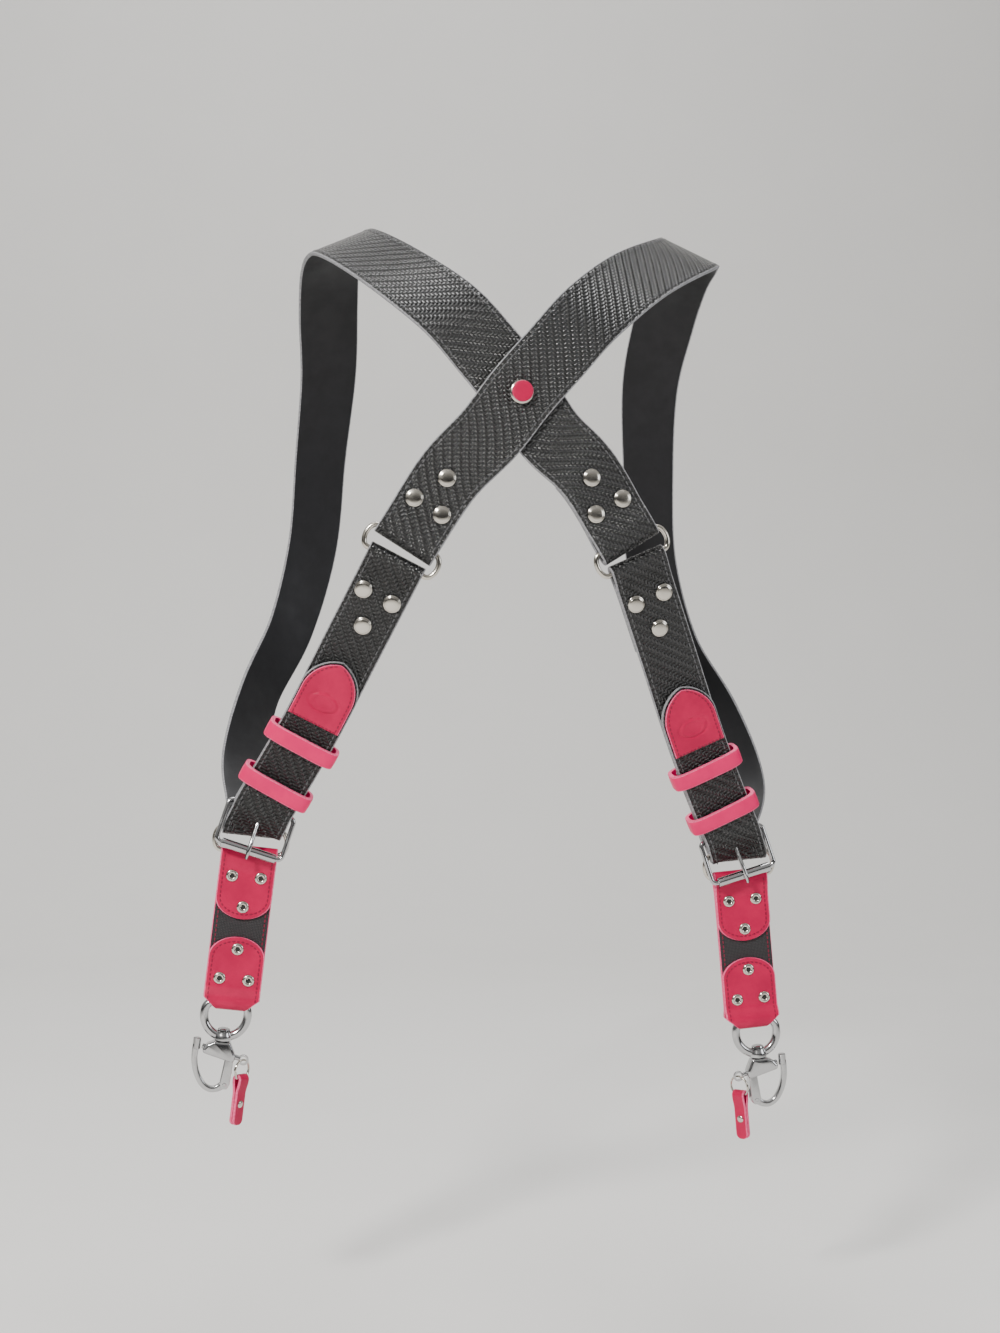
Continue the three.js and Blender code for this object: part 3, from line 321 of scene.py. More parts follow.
def remap(tree, value, low, high, new_low, new_high):
    """The value taken from one range to another by a smooth step."""
    node = tree.nodes.new("ShaderNodeMapRange")
    node.interpolation_type = "SMOOTHSTEP"
    for label, number in zip(("From Min", "From Max", "To Min", "To Max"), (low, high, new_low, new_high)):
        node.inputs[label].default_value = number
    tree.links.new(value, node.inputs["Value"])
    return node.outputs["Result"]


def twill_group():
    """2/2 twill of flat tows along and across a strap.

    Cell numbers i across and j along; the tow that runs along is on top where
    (i + j) modulo 4 is under 2. Height is the arch across the tow times the arch over its
    two-cell float. The painted shade output darkens the colour where the height is low, between the tows.
    """
    tree, given, out = group(
        "Twill",
        [("UV", "NodeSocketVector", None), ("Tow", "NodeSocketFloat", 1.7 * MM)],
        [("Height", "NodeSocketFloat"), ("Along", "NodeSocketFloat"), ("Painted shade", "NodeSocketFloat")],
    )
    split = tree.nodes.new("ShaderNodeSeparateXYZ")
    tree.links.new(given["UV"], split.inputs[0])
    across = math_node(tree, "DIVIDE", split.outputs[0], given["Tow"])
    along = math_node(tree, "DIVIDE", split.outputs[1], given["Tow"])
    i, j = math_node(tree, "FLOOR", across), math_node(tree, "FLOOR", along)
    fi, fj = math_node(tree, "FRACT", across), math_node(tree, "FRACT", along)
    number = math_node(tree, "FLOORED_MODULO", math_node(tree, "ADD", i, j), 4.0)
    on_top = math_node(tree, "LESS_THAN", number, 1.5)
    late = math_node(tree, "FLOORED_MODULO", number, 2.0)

    def arch(x):
        """1 less the square of the distance from the middle, which runs from -1 to 1."""
        doubled = math_node(tree, "MULTIPLY", x, 2.0)
        centred = math_node(tree, "ABSOLUTE", math_node(tree, "SUBTRACT", doubled, 1.0))
        return math_node(tree, "SUBTRACT", 1.0, math_node(tree, "POWER", centred, 2.0))

    over_along = math_node(tree, "MULTIPLY", math_node(tree, "ADD", fj, late), 0.5)
    over_across = math_node(tree, "MULTIPLY", math_node(tree, "ADD", fi, late), 0.5)
    tow_a = math_node(tree, "MULTIPLY", arch(fi), arch(over_along))
    tow_b = math_node(tree, "MULTIPLY", arch(fj), arch(over_across))
    blend = tree.nodes.new("ShaderNodeMix")
    tree.links.new(on_top, blend.inputs[0])
    tree.links.new(tow_b, blend.inputs[2])
    tree.links.new(tow_a, blend.inputs[3])
    tree.links.new(blend.outputs[0], out["Height"])
    tree.links.new(on_top, out["Along"])
    # Painted shade: 1 where the tow height is low, between the tows, easing to 0 on their crowns.
    tree.links.new(remap(tree, blend.outputs[0], 0.0, 0.35, 1.0, 0.0), out["Painted shade"])
    return tree


def grain_group():
    """Leather grain: small rounded cells with creases, and slow mottling."""
    tree, given, out = group(
        "Leather grain",
        [("Vector", "NodeSocketVector", None), ("Scale", "NodeSocketFloat", 900.0)],
        [("Height", "NodeSocketFloat"), ("Mottle", "NodeSocketFloat")],
    )
    cells = tree.nodes.new("ShaderNodeTexVoronoi")
    cells.feature = "SMOOTH_F1"
    tree.links.new(given["Vector"], cells.inputs["Vector"])
    tree.links.new(given["Scale"], cells.inputs["Scale"])
    fine = noise(tree, given["Vector"], 1700.0, 4.0)
    sunk = math_node(tree, "MULTIPLY", cells.outputs["Distance"], -0.6)
    height = math_node(tree, "ADD", sunk, fine)
    tree.links.new(height, out["Height"])
    tree.links.new(noise(tree, given["Vector"], 65.0, 5.0, 0.6), out["Mottle"])
    return tree


TWILL, GRAIN = twill_group(), grain_group()


def material(name):
    """A new material with its node tree and Principled BSDF."""
    made = bpy.data.materials.new(name)
    made.use_nodes = True
    return made, made.node_tree, made.node_tree.nodes["Principled BSDF"]


def use(tree, shared, **links):
    """A shared group in a tree, with its inputs linked or set."""
    node = tree.nodes.new("ShaderNodeGroup")
    node.node_tree = shared
    for label, value in links.items():
        if isinstance(value, (int, float)):
            node.inputs[label].default_value = value
        else:
            tree.links.new(value, node.inputs[label])
    return node.outputs


def bump(tree, bsdf, height, strength, distance, before=None):
    """A bump node into the BSDF's normal, over an earlier one if given."""
    node = tree.nodes.new("ShaderNodeBump")
    node.inputs["Strength"].default_value = strength
    node.inputs["Distance"].default_value = distance
    tree.links.new(height, node.inputs["Height"])
    if before is not None:
        tree.links.new(before, node.inputs["Normal"])
    tree.links.new(node.outputs["Normal"], bsdf.inputs["Normal"])
    return node.outputs["Normal"]


def strap_uv(tree):
    """The strip's own UV in metres."""
    node = tree.nodes.new("ShaderNodeUVMap")
    node.uv_map = "strap"
    return node.outputs["UV"]


def object_place(tree):
    """Object coordinates, in metres."""
    return tree.nodes.new("ShaderNodeTexCoord").outputs["Object"]


def blend_colour(tree, factor, dark, light):
    """Mix of two colours by a factor socket."""
    node = tree.nodes.new("ShaderNodeMix")
    node.data_type = "RGBA"
    node.inputs[6].default_value = (*dark, 1)
    node.inputs[7].default_value = (*light, 1)
    tree.links.new(factor, node.inputs[0])
    return node.outputs[2]


def tint(tree, bsdf, factor, dark, light):
    """Two colours mixed by a factor socket, as the base colour."""
    tree.links.new(blend_colour(tree, factor, dark, light), bsdf.inputs["Base Color"])


def twill_leather():
    """Black leather embossed as glossy woven tows; the gloss is stretched along each tow.
    The colour holds painted light: a painted sheen on tows that run along the strap and painted shade in the
    low gaps between tows.
    """
    made, tree, bsdf = material("Twill leather")
    uv = strap_uv(tree)
    weave = use(tree, TWILL, UV=uv)
    mottle = noise(tree, uv, 110.0, 4.0)
    clear_of_painted_shade = math_node(tree, "SUBTRACT", 1.0, weave["Painted shade"])
    lit = math_node(tree, "MULTIPLY", weave["Along"], clear_of_painted_shade)
    # Painted light: tows along the strap are coloured lighter as a painted sheen, and the gaps between tows
    # darker as painted shade.
    tint(tree, bsdf, lit, (0.001, 0.001, 0.001), (0.013, 0.013, 0.014))
    duller = math_node(tree, "MULTIPLY", math_node(tree, "SUBTRACT", 1.0, weave["Along"]), 0.14)
    rough = math_node(tree, "ADD", remap(tree, mottle, 0.3, 0.7, 0.16, 0.25), duller)
    tree.links.new(rough, bsdf.inputs["Roughness"])
    bsdf.inputs["Specular IOR Level"].default_value = 0.65
    bsdf.inputs["Anisotropic"].default_value = 0.75
    tree.links.new(math_node(tree, "MULTIPLY", weave["Along"], 0.25), bsdf.inputs["Anisotropic Rotation"])
    tangent = tree.nodes.new("ShaderNodeTangent")
    tangent.direction_type = "UV_MAP"
    tangent.uv_map = "strap"
    tree.links.new(tangent.outputs[0], bsdf.inputs["Tangent"])
    first = bump(tree, bsdf, weave["Height"], 1.0, 0.6 * MM)
    bump(tree, bsdf, noise(tree, uv, 2200.0, 2.0), 0.25, 0.05 * MM, first)
    return made


def smooth_leather(name, colour, rough=0.42, grain=0.3, deeper=0.75):
    """Finished leather: fine grain, slow mottling and a soft sheen."""
    made, tree, bsdf = material(name)
    where = object_place(tree)
    skin = use(tree, GRAIN, Vector=where)
    mottle = skin["Mottle"]
    dark = tuple(c * deeper for c in colour)
    tint(tree, bsdf, remap(tree, mottle, 0.3, 0.7, 0.0, 1.0), dark, colour)
    tree.links.new(remap(tree, mottle, 0.3, 0.7, rough + 0.06, rough - 0.05), bsdf.inputs["Roughness"])
    bsdf.inputs["Specular IOR Level"].default_value = 0.3
    bump(tree, bsdf, skin["Height"], grain, 0.12 * MM)
    return made


def raw_edge(name, colour, dark):
    """Cut leather edge: fibrous streaks along the cut."""
    made, tree, bsdf = material(name)
    fibres = noise(tree, object_place(tree), 900.0, 6.0, 0.7)
    tint(tree, bsdf, remap(tree, fibres, 0.35, 0.65, 0.0, 1.0), dark, colour)
    bsdf.inputs["Roughness"].default_value = 0.7
    bump(tree, bsdf, fibres, 0.5, 0.15 * MM)
    return made


def thread(name, colour):
    """Waxed stitching thread."""
    made, tree, bsdf = material(name)
    bsdf.inputs["Base Color"].default_value = (*colour, 1)
    bsdf.inputs["Roughness"].default_value = 0.5
    bump(tree, bsdf, noise(tree, object_place(tree), 3500.0, 2.0), 0.6, 0.05 * MM)
    return made


def painted_hole_shade():
    """Painted shade standing in for the inside of a punched eyelet or a tube rivet's bore."""
    made, tree, bsdf = material("Painted hole shade")
    fleck = noise(tree, object_place(tree), 1500.0, 3.0)
    tint(tree, bsdf, fleck, (0.004, 0.004, 0.004), (0.02, 0.018, 0.016))
    bsdf.inputs["Roughness"].default_value = 0.6
    return made


TWILL_LEATHER = twill_leather()
STRAP_LINING = smooth_leather("Strap lining", (0.012, 0.012, 0.014), 0.5, 0.35)
STRAP_EDGE = raw_edge("Strap edge", (0.36, 0.36, 0.38), (0.16, 0.16, 0.17))
GREY_THREAD = thread("Grey thread", (0.10, 0.10, 0.105))
HOLE_SHADE = painted_hole_shade()


# Sizes shared by the pieces, the same real sizes as their solids have

CLEAR = 0.3 * MM
STRAP_WIDTH = 40 * MM
FOLD_WIDTH = 37 * MM
TONGUE_WIDTH = 34 * MM
STRAP_THICKNESS = 2.4 * MM
CROSSING_GAP = 1.0 * MM
TIP_LENGTH = 20 * MM
TONGUE_REACH = 101 * MM
TONGUE_SLACK = 0.2 * MM
FOLD_REACH = 50 * MM
HOLE_PITCH = 25 * MM
HOLE_RADIUS = 1.7 * MM
BACK_DEPTH, FRONT_DEPTH = 112 * MM, 105 * MM
SHOULDER_REACH, CROSS_DROP = 110 * MM, 101 * MM
HIP_REACH, HIP_DEPTH, HIP_DROP = 139 * MM, 60 * MM, 346 * MM
RIGHT_SIDE_DROP = 13 * MM
BODY_TURN = 9 * MM
RING_WIRE, RING_SPACING = 3 * MM, 13.5 * MM
BUCKLE_WIRE = 2.8 * MM
RING_REACH, RING_DEPTH, RING_DROP, RING_OFF_LEVEL = 65.5 * MM, 110 * MM, 190 * MM, 1.5 * MM
RING_TURN, RING_TILT = math.radians(5), math.radians(27)
BUCKLE_SLOPE, BUCKLE_LEAN = math.radians(72), math.radians(10)
TAB_LEAN = math.radians(6)
HIP_RING_DOWN, HIP_RING_IN, HIP_RING_OUT = 13.5 * MM, 1.5 * MM, 1.6 * MM
PRONG_WIRE = 2.4 * MM
FOLDED = (STRAP_THICKNESS + CLEAR) / 2
CROSSING_OFF = (STRAP_THICKNESS + CROSSING_GAP) / 2
RING_FOLD = RING_WIRE / 2 + CLEAR + STRAP_THICKNESS / 2
HEEL_FOLD = BUCKLE_WIRE / 2 + CLEAR + STRAP_THICKNESS / 2


def vec(*numbers):
    """The numbers as one row."""
    return np.array(numbers, float)


def square_to(v, *axes):
    """v less its part along each unit axis, made unit."""
    for axis in axes:
        v = v - v.dot(axis) * axis
    return unit(v)


def drop(side):
    """How far a side's buckle hangs below the shoulders."""
    return HIP_DROP + side * RIGHT_SIDE_DROP / 2


def back_ring(side):
    """Frame of a back ring: u to its own side, v down the strap, n away from the back."""
    n = vec(side * math.sin(RING_TURN), -math.cos(RING_TURN), 0)
    u = square_to(vec(side * math.cos(RING_TILT), 0, math.sin(RING_TILT)), n)
    v = square_to(vec(0, 0, -1), n, u)
    centre = vec(side * RING_REACH, -RING_DEPTH, side * RING_OFF_LEVEL - RING_DROP)
    return {"centre": centre, "u": u, "v": v, "n": n,
            "upper": centre - v * RING_SPACING / 2, "lower": centre + v * RING_SPACING / 2}


def buckle(side):
    """Frame of a buckle at its heel bar."""
    v = unit(vec(side * math.cos(BUCKLE_SLOPE), math.tan(BUCKLE_LEAN), -math.sin(BUCKLE_SLOPE)))
    n = square_to(vec(0, -1, 0), v)
    u = np.cross(v, n) * -side
    return {"heel": vec(side * HIP_REACH, -HIP_DEPTH, -drop(side)), "u": u, "v": v, "n": n}


def hip(side):
    """Frame of a hip ring, whose lower bar carries the camera tab."""
    b = buckle(side)
    v = vec(side * math.sin(TAB_LEAN), 0, -math.cos(TAB_LEAN))
    n = vec(0, -1, 0)
    u = vec(side * math.cos(TAB_LEAN), 0, math.sin(TAB_LEAN))
    upper = b["heel"] + b["v"] * HIP_RING_DOWN - b["n"] * HIP_RING_IN + u * HIP_RING_OUT
    return {"upper": upper, "lower": upper + v * RING_SPACING, "u": u, "v": v, "n": n}


class Route:
    """A strap's middle line: places, normals square to it, and distance from its start."""

    def __init__(self, places, normals, per):
        self.p = through(places, per)
        self.along = unit(np.gradient(self.p, axis=0))
        n = through(normals, per)
        self.n = unit(n - np.sum(n * self.along, -1, keepdims=True) * self.along)
        step = np.linalg.norm(np.diff(self.p, axis=0), axis=1)
        self.d = np.concatenate([[0], np.cumsum(step)])
        self.length = self.d[-1]

    def at(self, d):
        """Places, normals, and along at distances."""
        d = np.atleast_1d(d)
        pick = lambda rows: np.stack([np.interp(d, self.d, rows[:, a]) for a in range(3)], 1)
        return pick(self.p), unit(pick(self.n)), unit(pick(self.along))


# The long straps' own lines

SHOULDER_ROWS = (  # out, fore, up, normal, share of the body's turn
    (-0.16, -1, -1.235, (0, -1, 0), 0),
    (0, -1, -1, (0, -1, 0), 0),
    (0.175, -1, -0.775, (0, -1, 0), 0),
    (0.37, -0.95, -0.535, (0.12, -0.95, 0.3), 0),
    (0.64, -0.75, -0.28, (0.2, -0.75, 0.6), 0.1),
    (0.9, -0.46, -0.08, (0.33, -0.42, 0.83), 0.7),
    (0.99, -0.11, 0, (0.42, -0.05, 0.9), 1),
    (1.01, 0.24, -0.06, (0.4, 0.38, 0.85), 1),
    (1, 0.55, -0.28, (0.32, 0.75, 0.58), 1),
    (0.98, 0.82, -0.66, (0.25, 0.93, 0.3), 1),
)
SIDE_ROWS = (  # out, fore, down, normal, share of the body's turn
    (0.8, 0.97, 0.35, (0.2, 0.98, 0.08), 1),
    (0.83, 1.01, 0.52, (0.3, 0.95, 0), 1),
    (0.93, 0.9, 0.68, (0.52, 0.86, -0.05), 1),
    (1.08, 0.58, 0.81, (0.68, 0.72, -0.1), 1),
    (1.12, 0.13, 0.93, (0.45, 0.85, -0.35), 0.8),
)
ROUTE_STEPS = 30
CROSSING_ROW = 3
RING_RUN, HIP_RUN = 42 * MM, 26 * MM
FOLD_FLAT, FOLD_EASE = 1 * MM, 12 * MM
TONGUE_FLAT, TONGUE_EASE = 4 * MM, 14 * MM
CUT_ROUND, SEAM_INSET, PROUD = 0.7 * MM, 3 * MM, 0.02 * MM
TIP_LEAST = 0.9 * MM


def hip_turn(side, degrees):
    """Place, normal and along on the turn round the hip ring's upper bar."""
    h, a = hip(side), np.radians(np.atleast_1d(degrees))[:, None]
    n = h["n"] * np.cos(a) + h["v"] * np.sin(a)
    along = h["n"] * np.sin(a) - h["v"] * np.cos(a)
    return h["upper"] + n * RING_FOLD, n, along


def long_route(side):
    """A long strap's middle line, from the other side's back ring to its own hip ring."""
    ring = back_ring(-side)
    out, fore, up = SHOULDER_ROWS[0][:3]
    toward = unit(vec(side * out * SHOULDER_REACH, fore * BACK_DEPTH, up * CROSS_DROP) - ring["upper"])
    leaving = unit(toward - ring["v"])
    places = [ring["upper"], ring["upper"] + leaving * RING_RUN]
    normals = [ring["n"], ring["n"]]
    for out, fore, up, n, turn in SHOULDER_ROWS:
        depth = BACK_DEPTH if fore < 0 else FRONT_DEPTH
        places.append(vec(side * out * SHOULDER_REACH + turn * BODY_TURN, fore * depth, up * CROSS_DROP))
        normals.append(vec(side * n[0], n[1], n[2]))
    for out, fore, down, n, turn in SIDE_ROWS:
        places.append(vec(side * out * HIP_REACH + turn * BODY_TURN, fore * FRONT_DEPTH, -down * drop(side)))
        normals.append(vec(side * n[0], n[1], n[2]))
    end, normal, along = (rows[0] for rows in hip_turn(side, 128))
    for share in (1, 0.5, 0):
        places.append(end - along * share * HIP_RUN)
        normals.append(normal)
    return Route(places, normals, ROUTE_STEPS)


def buckle_route(side):
    """A buckle strap's middle line, from the back ring's lower bar to the buckle's heel bar."""
    ring, b = back_ring(side), buckle(side)
    rows = ((0, 0, ring["n"]), (0.33, -0.008, vec(0.09 * side, -0.98, -0.06)),
            (0.67, -0.015, vec(0.07 * side, -0.98, -0.14)), (1, 0, b["n"]))
    places = [ring["lower"] * (1 - t) + b["heel"] * t + vec(side * out * HIP_REACH, 0, 0)
              for t, out, _ in rows]
    return Route(places, [n for _, _, n in rows], ROUTE_STEPS)


def fold_height(d, at_bar, slack=0.0):
    """Height of a layer over the fold's middle: the bar's, easing to the folded pair's."""
    wide = 2 * slack + RING_WIRE / 2 + FOLD_FLAT
    return at_bar + (FOLDED - at_bar) * ease((d - wide) / FOLD_EASE)


def tongue_height(above):
    """Height of the tongue over the buckle strap's middle."""
    high = HEEL_FOLD + STRAP_THICKNESS + CLEAR
    return TONGUE_SLACK + high + (3 * FOLDED - high) * ease((above - TONGUE_FLAT) / TONGUE_EASE)


def tip_half(from_point, half, length):
    """Half width of the pointed tip: half times (1 - q squared) to the power 0.62."""
    q = np.clip(1 - from_point / length, 0, 1)
    return half * (1 - q**2) ** 0.62


def half_turn(centre, down, n, radius, steps=12):
    """Places and normals round a bar, from the inner side to the outer, ends left out."""
    a = (np.arange(1, steps) / steps * math.pi)[:, None]
    out = -n * np.cos(a) + down * np.sin(a)
    return centre + out * radius, out


def long_line(side):
    """Whole middle line of a long strap: places, normals, half widths, and the outer face's first row."""
    ring, b, route = back_ring(-side), buckle(side), long_route(side)
    down = -route.along[0]
    slack = abs(ring["u"].dot(down)) * FOLD_WIDTH / 2
    crossing = route.d[CROSSING_ROW * ROUTE_STEPS]

    def half(d):
        back = FOLD_WIDTH / 2 + (STRAP_WIDTH - FOLD_WIDTH) / 2 * ease(d / crossing)
        return back + (TONGUE_WIDTH / 2 - back) * ease((d / route.length - 0.46) / 0.16)

    def height(d):
        fold = fold_height(d, RING_FOLD, slack)
        to_crossing = ease((d - FOLD_REACH - 2 * MM) / (crossing - FOLD_REACH - 28 * MM))
        return (fold + (side * CROSSING_OFF - fold) * to_crossing) * ease((route.length - d) / (40 * MM))

    d = np.linspace(FOLD_REACH, 0.4 * MM, 34)
    p, n, _ = route.at(d)
    rows = [(p - n * fold_height(d, RING_FOLD, slack)[:, None], -n, half(d))]
    p0, n0 = route.p[0], route.n[0]
    centre = p0 + down * slack
    rows.append((centre - n0[None] * RING_FOLD, -n0[None], np.full(1, FOLD_WIDTH / 2)))
    turn, normals = half_turn(centre, down, n0, RING_FOLD)
    rows.append((turn, normals, np.full(len(turn), FOLD_WIDTH / 2)))
    rows.append((centre + n0[None] * RING_FOLD, n0[None], np.full(1, FOLD_WIDTH / 2)))
    outer_from = sum(len(r[0]) for r in rows)
    d = route.d[route.d > 2.5 * MM]
    p, n, _ = route.at(d)
    rows.append((p + n * height(d)[:, None], n, half(d)))
    degrees = np.linspace(122, 12, 14)
    p, n, _ = hip_turn(side, degrees)
    rows.append((p, n, np.full(len(p), TONGUE_WIDTH / 2)))
    last_p, last_n = p[-1], n[-1]
    over = b["heel"] + b["v"] * PRONG_WIRE + b["n"] * tongue_height(0)
    t = np.array([0.25, 0.5, 0.75, 1])[:, None]
    rows.append((last_p + (over - last_p) * t, unit(last_n + (b["n"] - last_n) * t),
                 np.full(len(t), TONGUE_WIDTH / 2)))
    under = buckle_route(side)
    above = np.concatenate([np.linspace(0, TONGUE_REACH - TIP_LENGTH, 46),
                            TONGUE_REACH - TIP_LENGTH * (1 - np.linspace(0.04, 0.998, 26) ** 0.8)])
    p, n, _ = under.at(under.length - above)
    rows.append((p + n * tongue_height(above)[:, None], n,
                 np.maximum(tip_half(TONGUE_REACH - above, TONGUE_WIDTH / 2, TIP_LENGTH), TIP_LEAST)))
    p, n, w = (np.concatenate([r[k] for r in rows]) for k in range(3))
    return p, n, w, outer_from


def eased_line(p, n, passes=2):
    """The places and normals averaged with their neighbours, which rounds off joins."""
    for _ in range(passes):
        p = np.vstack([p[:1], 0.25 * p[:-2] + 0.5 * p[1:-1] + 0.25 * p[2:], p[-1:]])
        n = unit(np.vstack([n[:1], 0.25 * n[:-2] + 0.5 * n[1:-1] + 0.25 * n[2:], n[-1:]]))
    return p, n


def hole_dots(name, p, n, material):
    """Punched holes, shown by a dish of painted shade with a low rim laid on the outer face. None is cut."""
    rim = [(HOLE_RADIUS * 1.22, 0.02 * MM), (HOLE_RADIUS * 1.08, 0.07 * MM),
           (HOLE_RADIUS, 0.03 * MM), (0.0001 * MM, 0.02 * MM)]
    return lathe(name, list(zip(p, n)), rim, [material], 24)


LEATHER_SET = [TWILL_LEATHER, STRAP_LINING, STRAP_EDGE]
SURFACE = STRAP_THICKNESS / 2 + PROUD
TIP_ROWS = 22
TONGUE_HOLES = (HOLE_PITCH - 8 * MM, 2 * HOLE_PITCH - 8 * MM)
RUN_HOLES = (HOLE_PITCH, 2 * HOLE_PITCH, 3 * HOLE_PITCH)

for name, side in SIDES:
    p, n, w, outer_from = long_line(side)
    p, n = eased_line(p, n)
    sewn = [strip(f"long_strap_{name}_leather", p, n, w, STRAP_THICKNESS, CUT_ROUND, LEATHER_SET)]
    face = slice(outer_from, -TIP_ROWS)
    for edge in (-1, 1):
        sewn.append(seam(f"seam_{name}_{edge}", p[face], n[face], edge * (w - SEAM_INSET)[face], SURFACE,
                         GREY_THREAD))
    under, above = buckle_route(side), np.array(TONGUE_HOLES)
    hole_p, hole_n, _ = under.at(under.length - above)
    hole_p = hole_p + hole_n * (tongue_height(above) + SURFACE)[:, None]
    sewn.append(hole_dots(f"tongue_holes_{name}", hole_p, hole_n, HOLE_SHADE))
    route = long_route(side)
    hole_p, hole_n, _ = route.at(route.length - np.array(RUN_HOLES))
    hole_p = hole_p + hole_n * (SURFACE - PROUD / 2)
    sewn.append(hole_dots(f"run_holes_{name}", hole_p, hole_n, HOLE_SHADE))
    place(joined(f"long_strap_{name}_leather", sewn), "harness", "strap_leather", f"long_strap_{name}")


# Buckle straps
# A shorter length of the same leather, 34 mm wide, folded and riveted round the back ring's
# lower bar and round the buckle's heel bar. The real one has a slot there for the prong, which
# isn't cut here, so the prong runs through the leather.

for name, side in SIDES:
    route = buckle_route(side)
    half = TONGUE_WIDTH / 2
    d = np.linspace(FOLD_REACH, 0.4 * MM, 30)
    p, n, _ = route.at(d)
    rows = [(p - n * fold_height(d, RING_FOLD)[:, None], -n)]
    up = -route.along[0]
    rows.append((route.p[:1] - route.n[:1] * RING_FOLD, -route.n[:1]))
    rows.append(half_turn(route.p[0], up, route.n[0], RING_FOLD))
    outer_from = sum(len(r[0]) for r in rows)
    d = route.d
    both = np.maximum(fold_height(d, RING_FOLD), fold_height(route.length - d, HEEL_FOLD))
    rows.append((route.p + route.n * both[:, None], route.n))
    outer_to = outer_from + len(d)
    turn, normals = half_turn(route.p[-1], route.along[-1], route.n[-1], HEEL_FOLD)
    rows.append((turn[::-1], normals[::-1]))
    rows.append((route.p[-1:] - route.n[-1:] * HEEL_FOLD, -route.n[-1:]))
    d = np.linspace(0.4 * MM, FOLD_REACH, 30)
    p, n, _ = route.at(route.length - d)
    rows.append((p - n * fold_height(d, HEEL_FOLD)[:, None], -n))
    p, n = (np.concatenate([r[k] for r in rows]) for k in range(2))
    p, n = eased_line(p, n)
    w = np.full(len(p), half)
    sewn = [strip(f"buckle_strap_{name}_leather", p, n, w, STRAP_THICKNESS, CUT_ROUND, LEATHER_SET)]
    face = slice(outer_from, outer_to)
    for edge in (-1, 1):
        sewn.append(seam(f"buckle_seam_{name}_{edge}", p[face], n[face], edge * (half - SEAM_INSET),
                         SURFACE, GREY_THREAD))
    place(joined(f"buckle_strap_{name}_leather", sewn), "harness", "strap_leather", f"buckle_strap_{name}")


# Rings
# Welded loops of 3 mm nickel-plated steel wire with round ends: one joins the two straps at
# the back, the other hangs in the tongue's turn and carries the camera tab.

RING_END, RING_ROUND = 3.8 * MM, 4.2 * MM


def tube(name, line, radius, up, materials, sides=20, closed=True):
    """A round wire along a line: each ring lies square to the line, one axis toward up."""
    if closed:
        along = unit(np.roll(line, -1, axis=0) - np.roll(line, 1, axis=0))
    else:
        along = unit(np.gradient(line, axis=0))
    side = unit(np.cross(along, up))
    over = unit(np.cross(side, along))
    turn = np.arange(sides) / sides * 2 * math.pi
    radius = np.broadcast_to(np.asarray(radius, float), (len(line),))
    points = line[:, None] + radius[:, None, None] * (
        side[:, None] * np.cos(turn)[None, :, None] + over[:, None] * np.sin(turn)[None, :, None]
    )
    return grid_mesh(name, points, materials, closed=closed)


def local(points, origin, frame_at, side):
    """Points given as X to the viewer's right, Y forward and Z up a frame, taken to the row frame."""
    x, y, z = frame_at["u"] * side, -frame_at["n"], -frame_at["v"]
    points = np.asarray(points, float)
    return origin + points[..., :1] * x + points[..., 1:2] * y + points[..., 2:3] * z


def wear_group():
    """Handling marks on metal: cloudy roughness and faint ripples."""
    tree, given, out = group(
        "Metal wear",
        [("Vector", "NodeSocketVector", None)],
        [("Rough", "NodeSocketFloat"), ("Height", "NodeSocketFloat")],
    )
    tree.links.new(noise(tree, given["Vector"], 260.0, 5.0, 0.65), out["Rough"])
    tree.links.new(noise(tree, given["Vector"], 420.0, 2.0), out["Height"])
    return tree


WEAR = wear_group()


def bright_metal(name, colour, rough):
    """Plated metal with handling marks."""
    made, tree, bsdf = material(name)
    marks = use(tree, WEAR, Vector=object_place(tree))
    bsdf.inputs["Base Color"].default_value = (*colour, 1)
    bsdf.inputs["Metallic"].default_value = 1.0
    tree.links.new(remap(tree, marks["Rough"], 0.35, 0.7, rough, rough + 0.12), bsdf.inputs["Roughness"])
    bump(tree, bsdf, marks["Height"], 0.06, 0.2 * MM)
    return made


NICKEL = bright_metal("Nickel plate", (0.62, 0.585, 0.52), 0.14)


def loop_line(strap_half, steps=24):
    """Long loop with half-ellipse ends.

    x is the straight plus the round times cos, and z is half the spacing times sin.
    """
    straight = strap_half + RING_END - RING_ROUND
    turn = (np.arange(steps + 1) / steps - 0.5) * math.pi
    ends = []
    for end in (1, -1):
        x = end * (straight + RING_ROUND * np.cos(turn))
        z = end * RING_SPACING / 2 * np.sin(turn)
        ends.append(np.stack([x, 0 * x, z], 1))
    return np.vstack(ends)


for name, side in SIDES:
    for kind, at, strap_half in (("back", back_ring(side), FOLD_WIDTH / 2),
                                 ("hip", hip(side), TONGUE_WIDTH / 2)):
        centre = (at["upper"] + at["lower"]) / 2
        line = local(loop_line(strap_half), centre, at, side)
        ring = tube(f"{kind}_ring_{name}_wire", line, RING_WIRE / 2, at["n"], [NICKEL], 20)
        place(ring, "harness", "nickel", f"{kind}_ring_{name}")


# Cap rivets
# Double-cap rivets in threes through each fold: a domed nickel cap with a rolled rim on both
# sides of the leather.


def cap_profile(head, shank, stack, cap, seat):
    """Half turn of a double-cap rivet: domed crown, rolled rim and shank, foot to top."""
    a = np.linspace(0, math.pi / 2, 9)
    dome = np.stack([head * 0.86 * np.sin(a), cap * (0.45 + 0.55 * np.cos(a))], 1)
    rim = np.array([(0.95, 0.38), (1, 0.2), (0.97, 0.04), (0.6, 0)]) * (head, cap)
    top = np.vstack([dome, rim])
    top[:, 1] += stack / 2 + seat
    shaft = np.array([[shank, stack / 2], [shank, -stack / 2]])
    foot = top[::-1] * [1, -1]
    return np.vstack([top, shaft, foot])


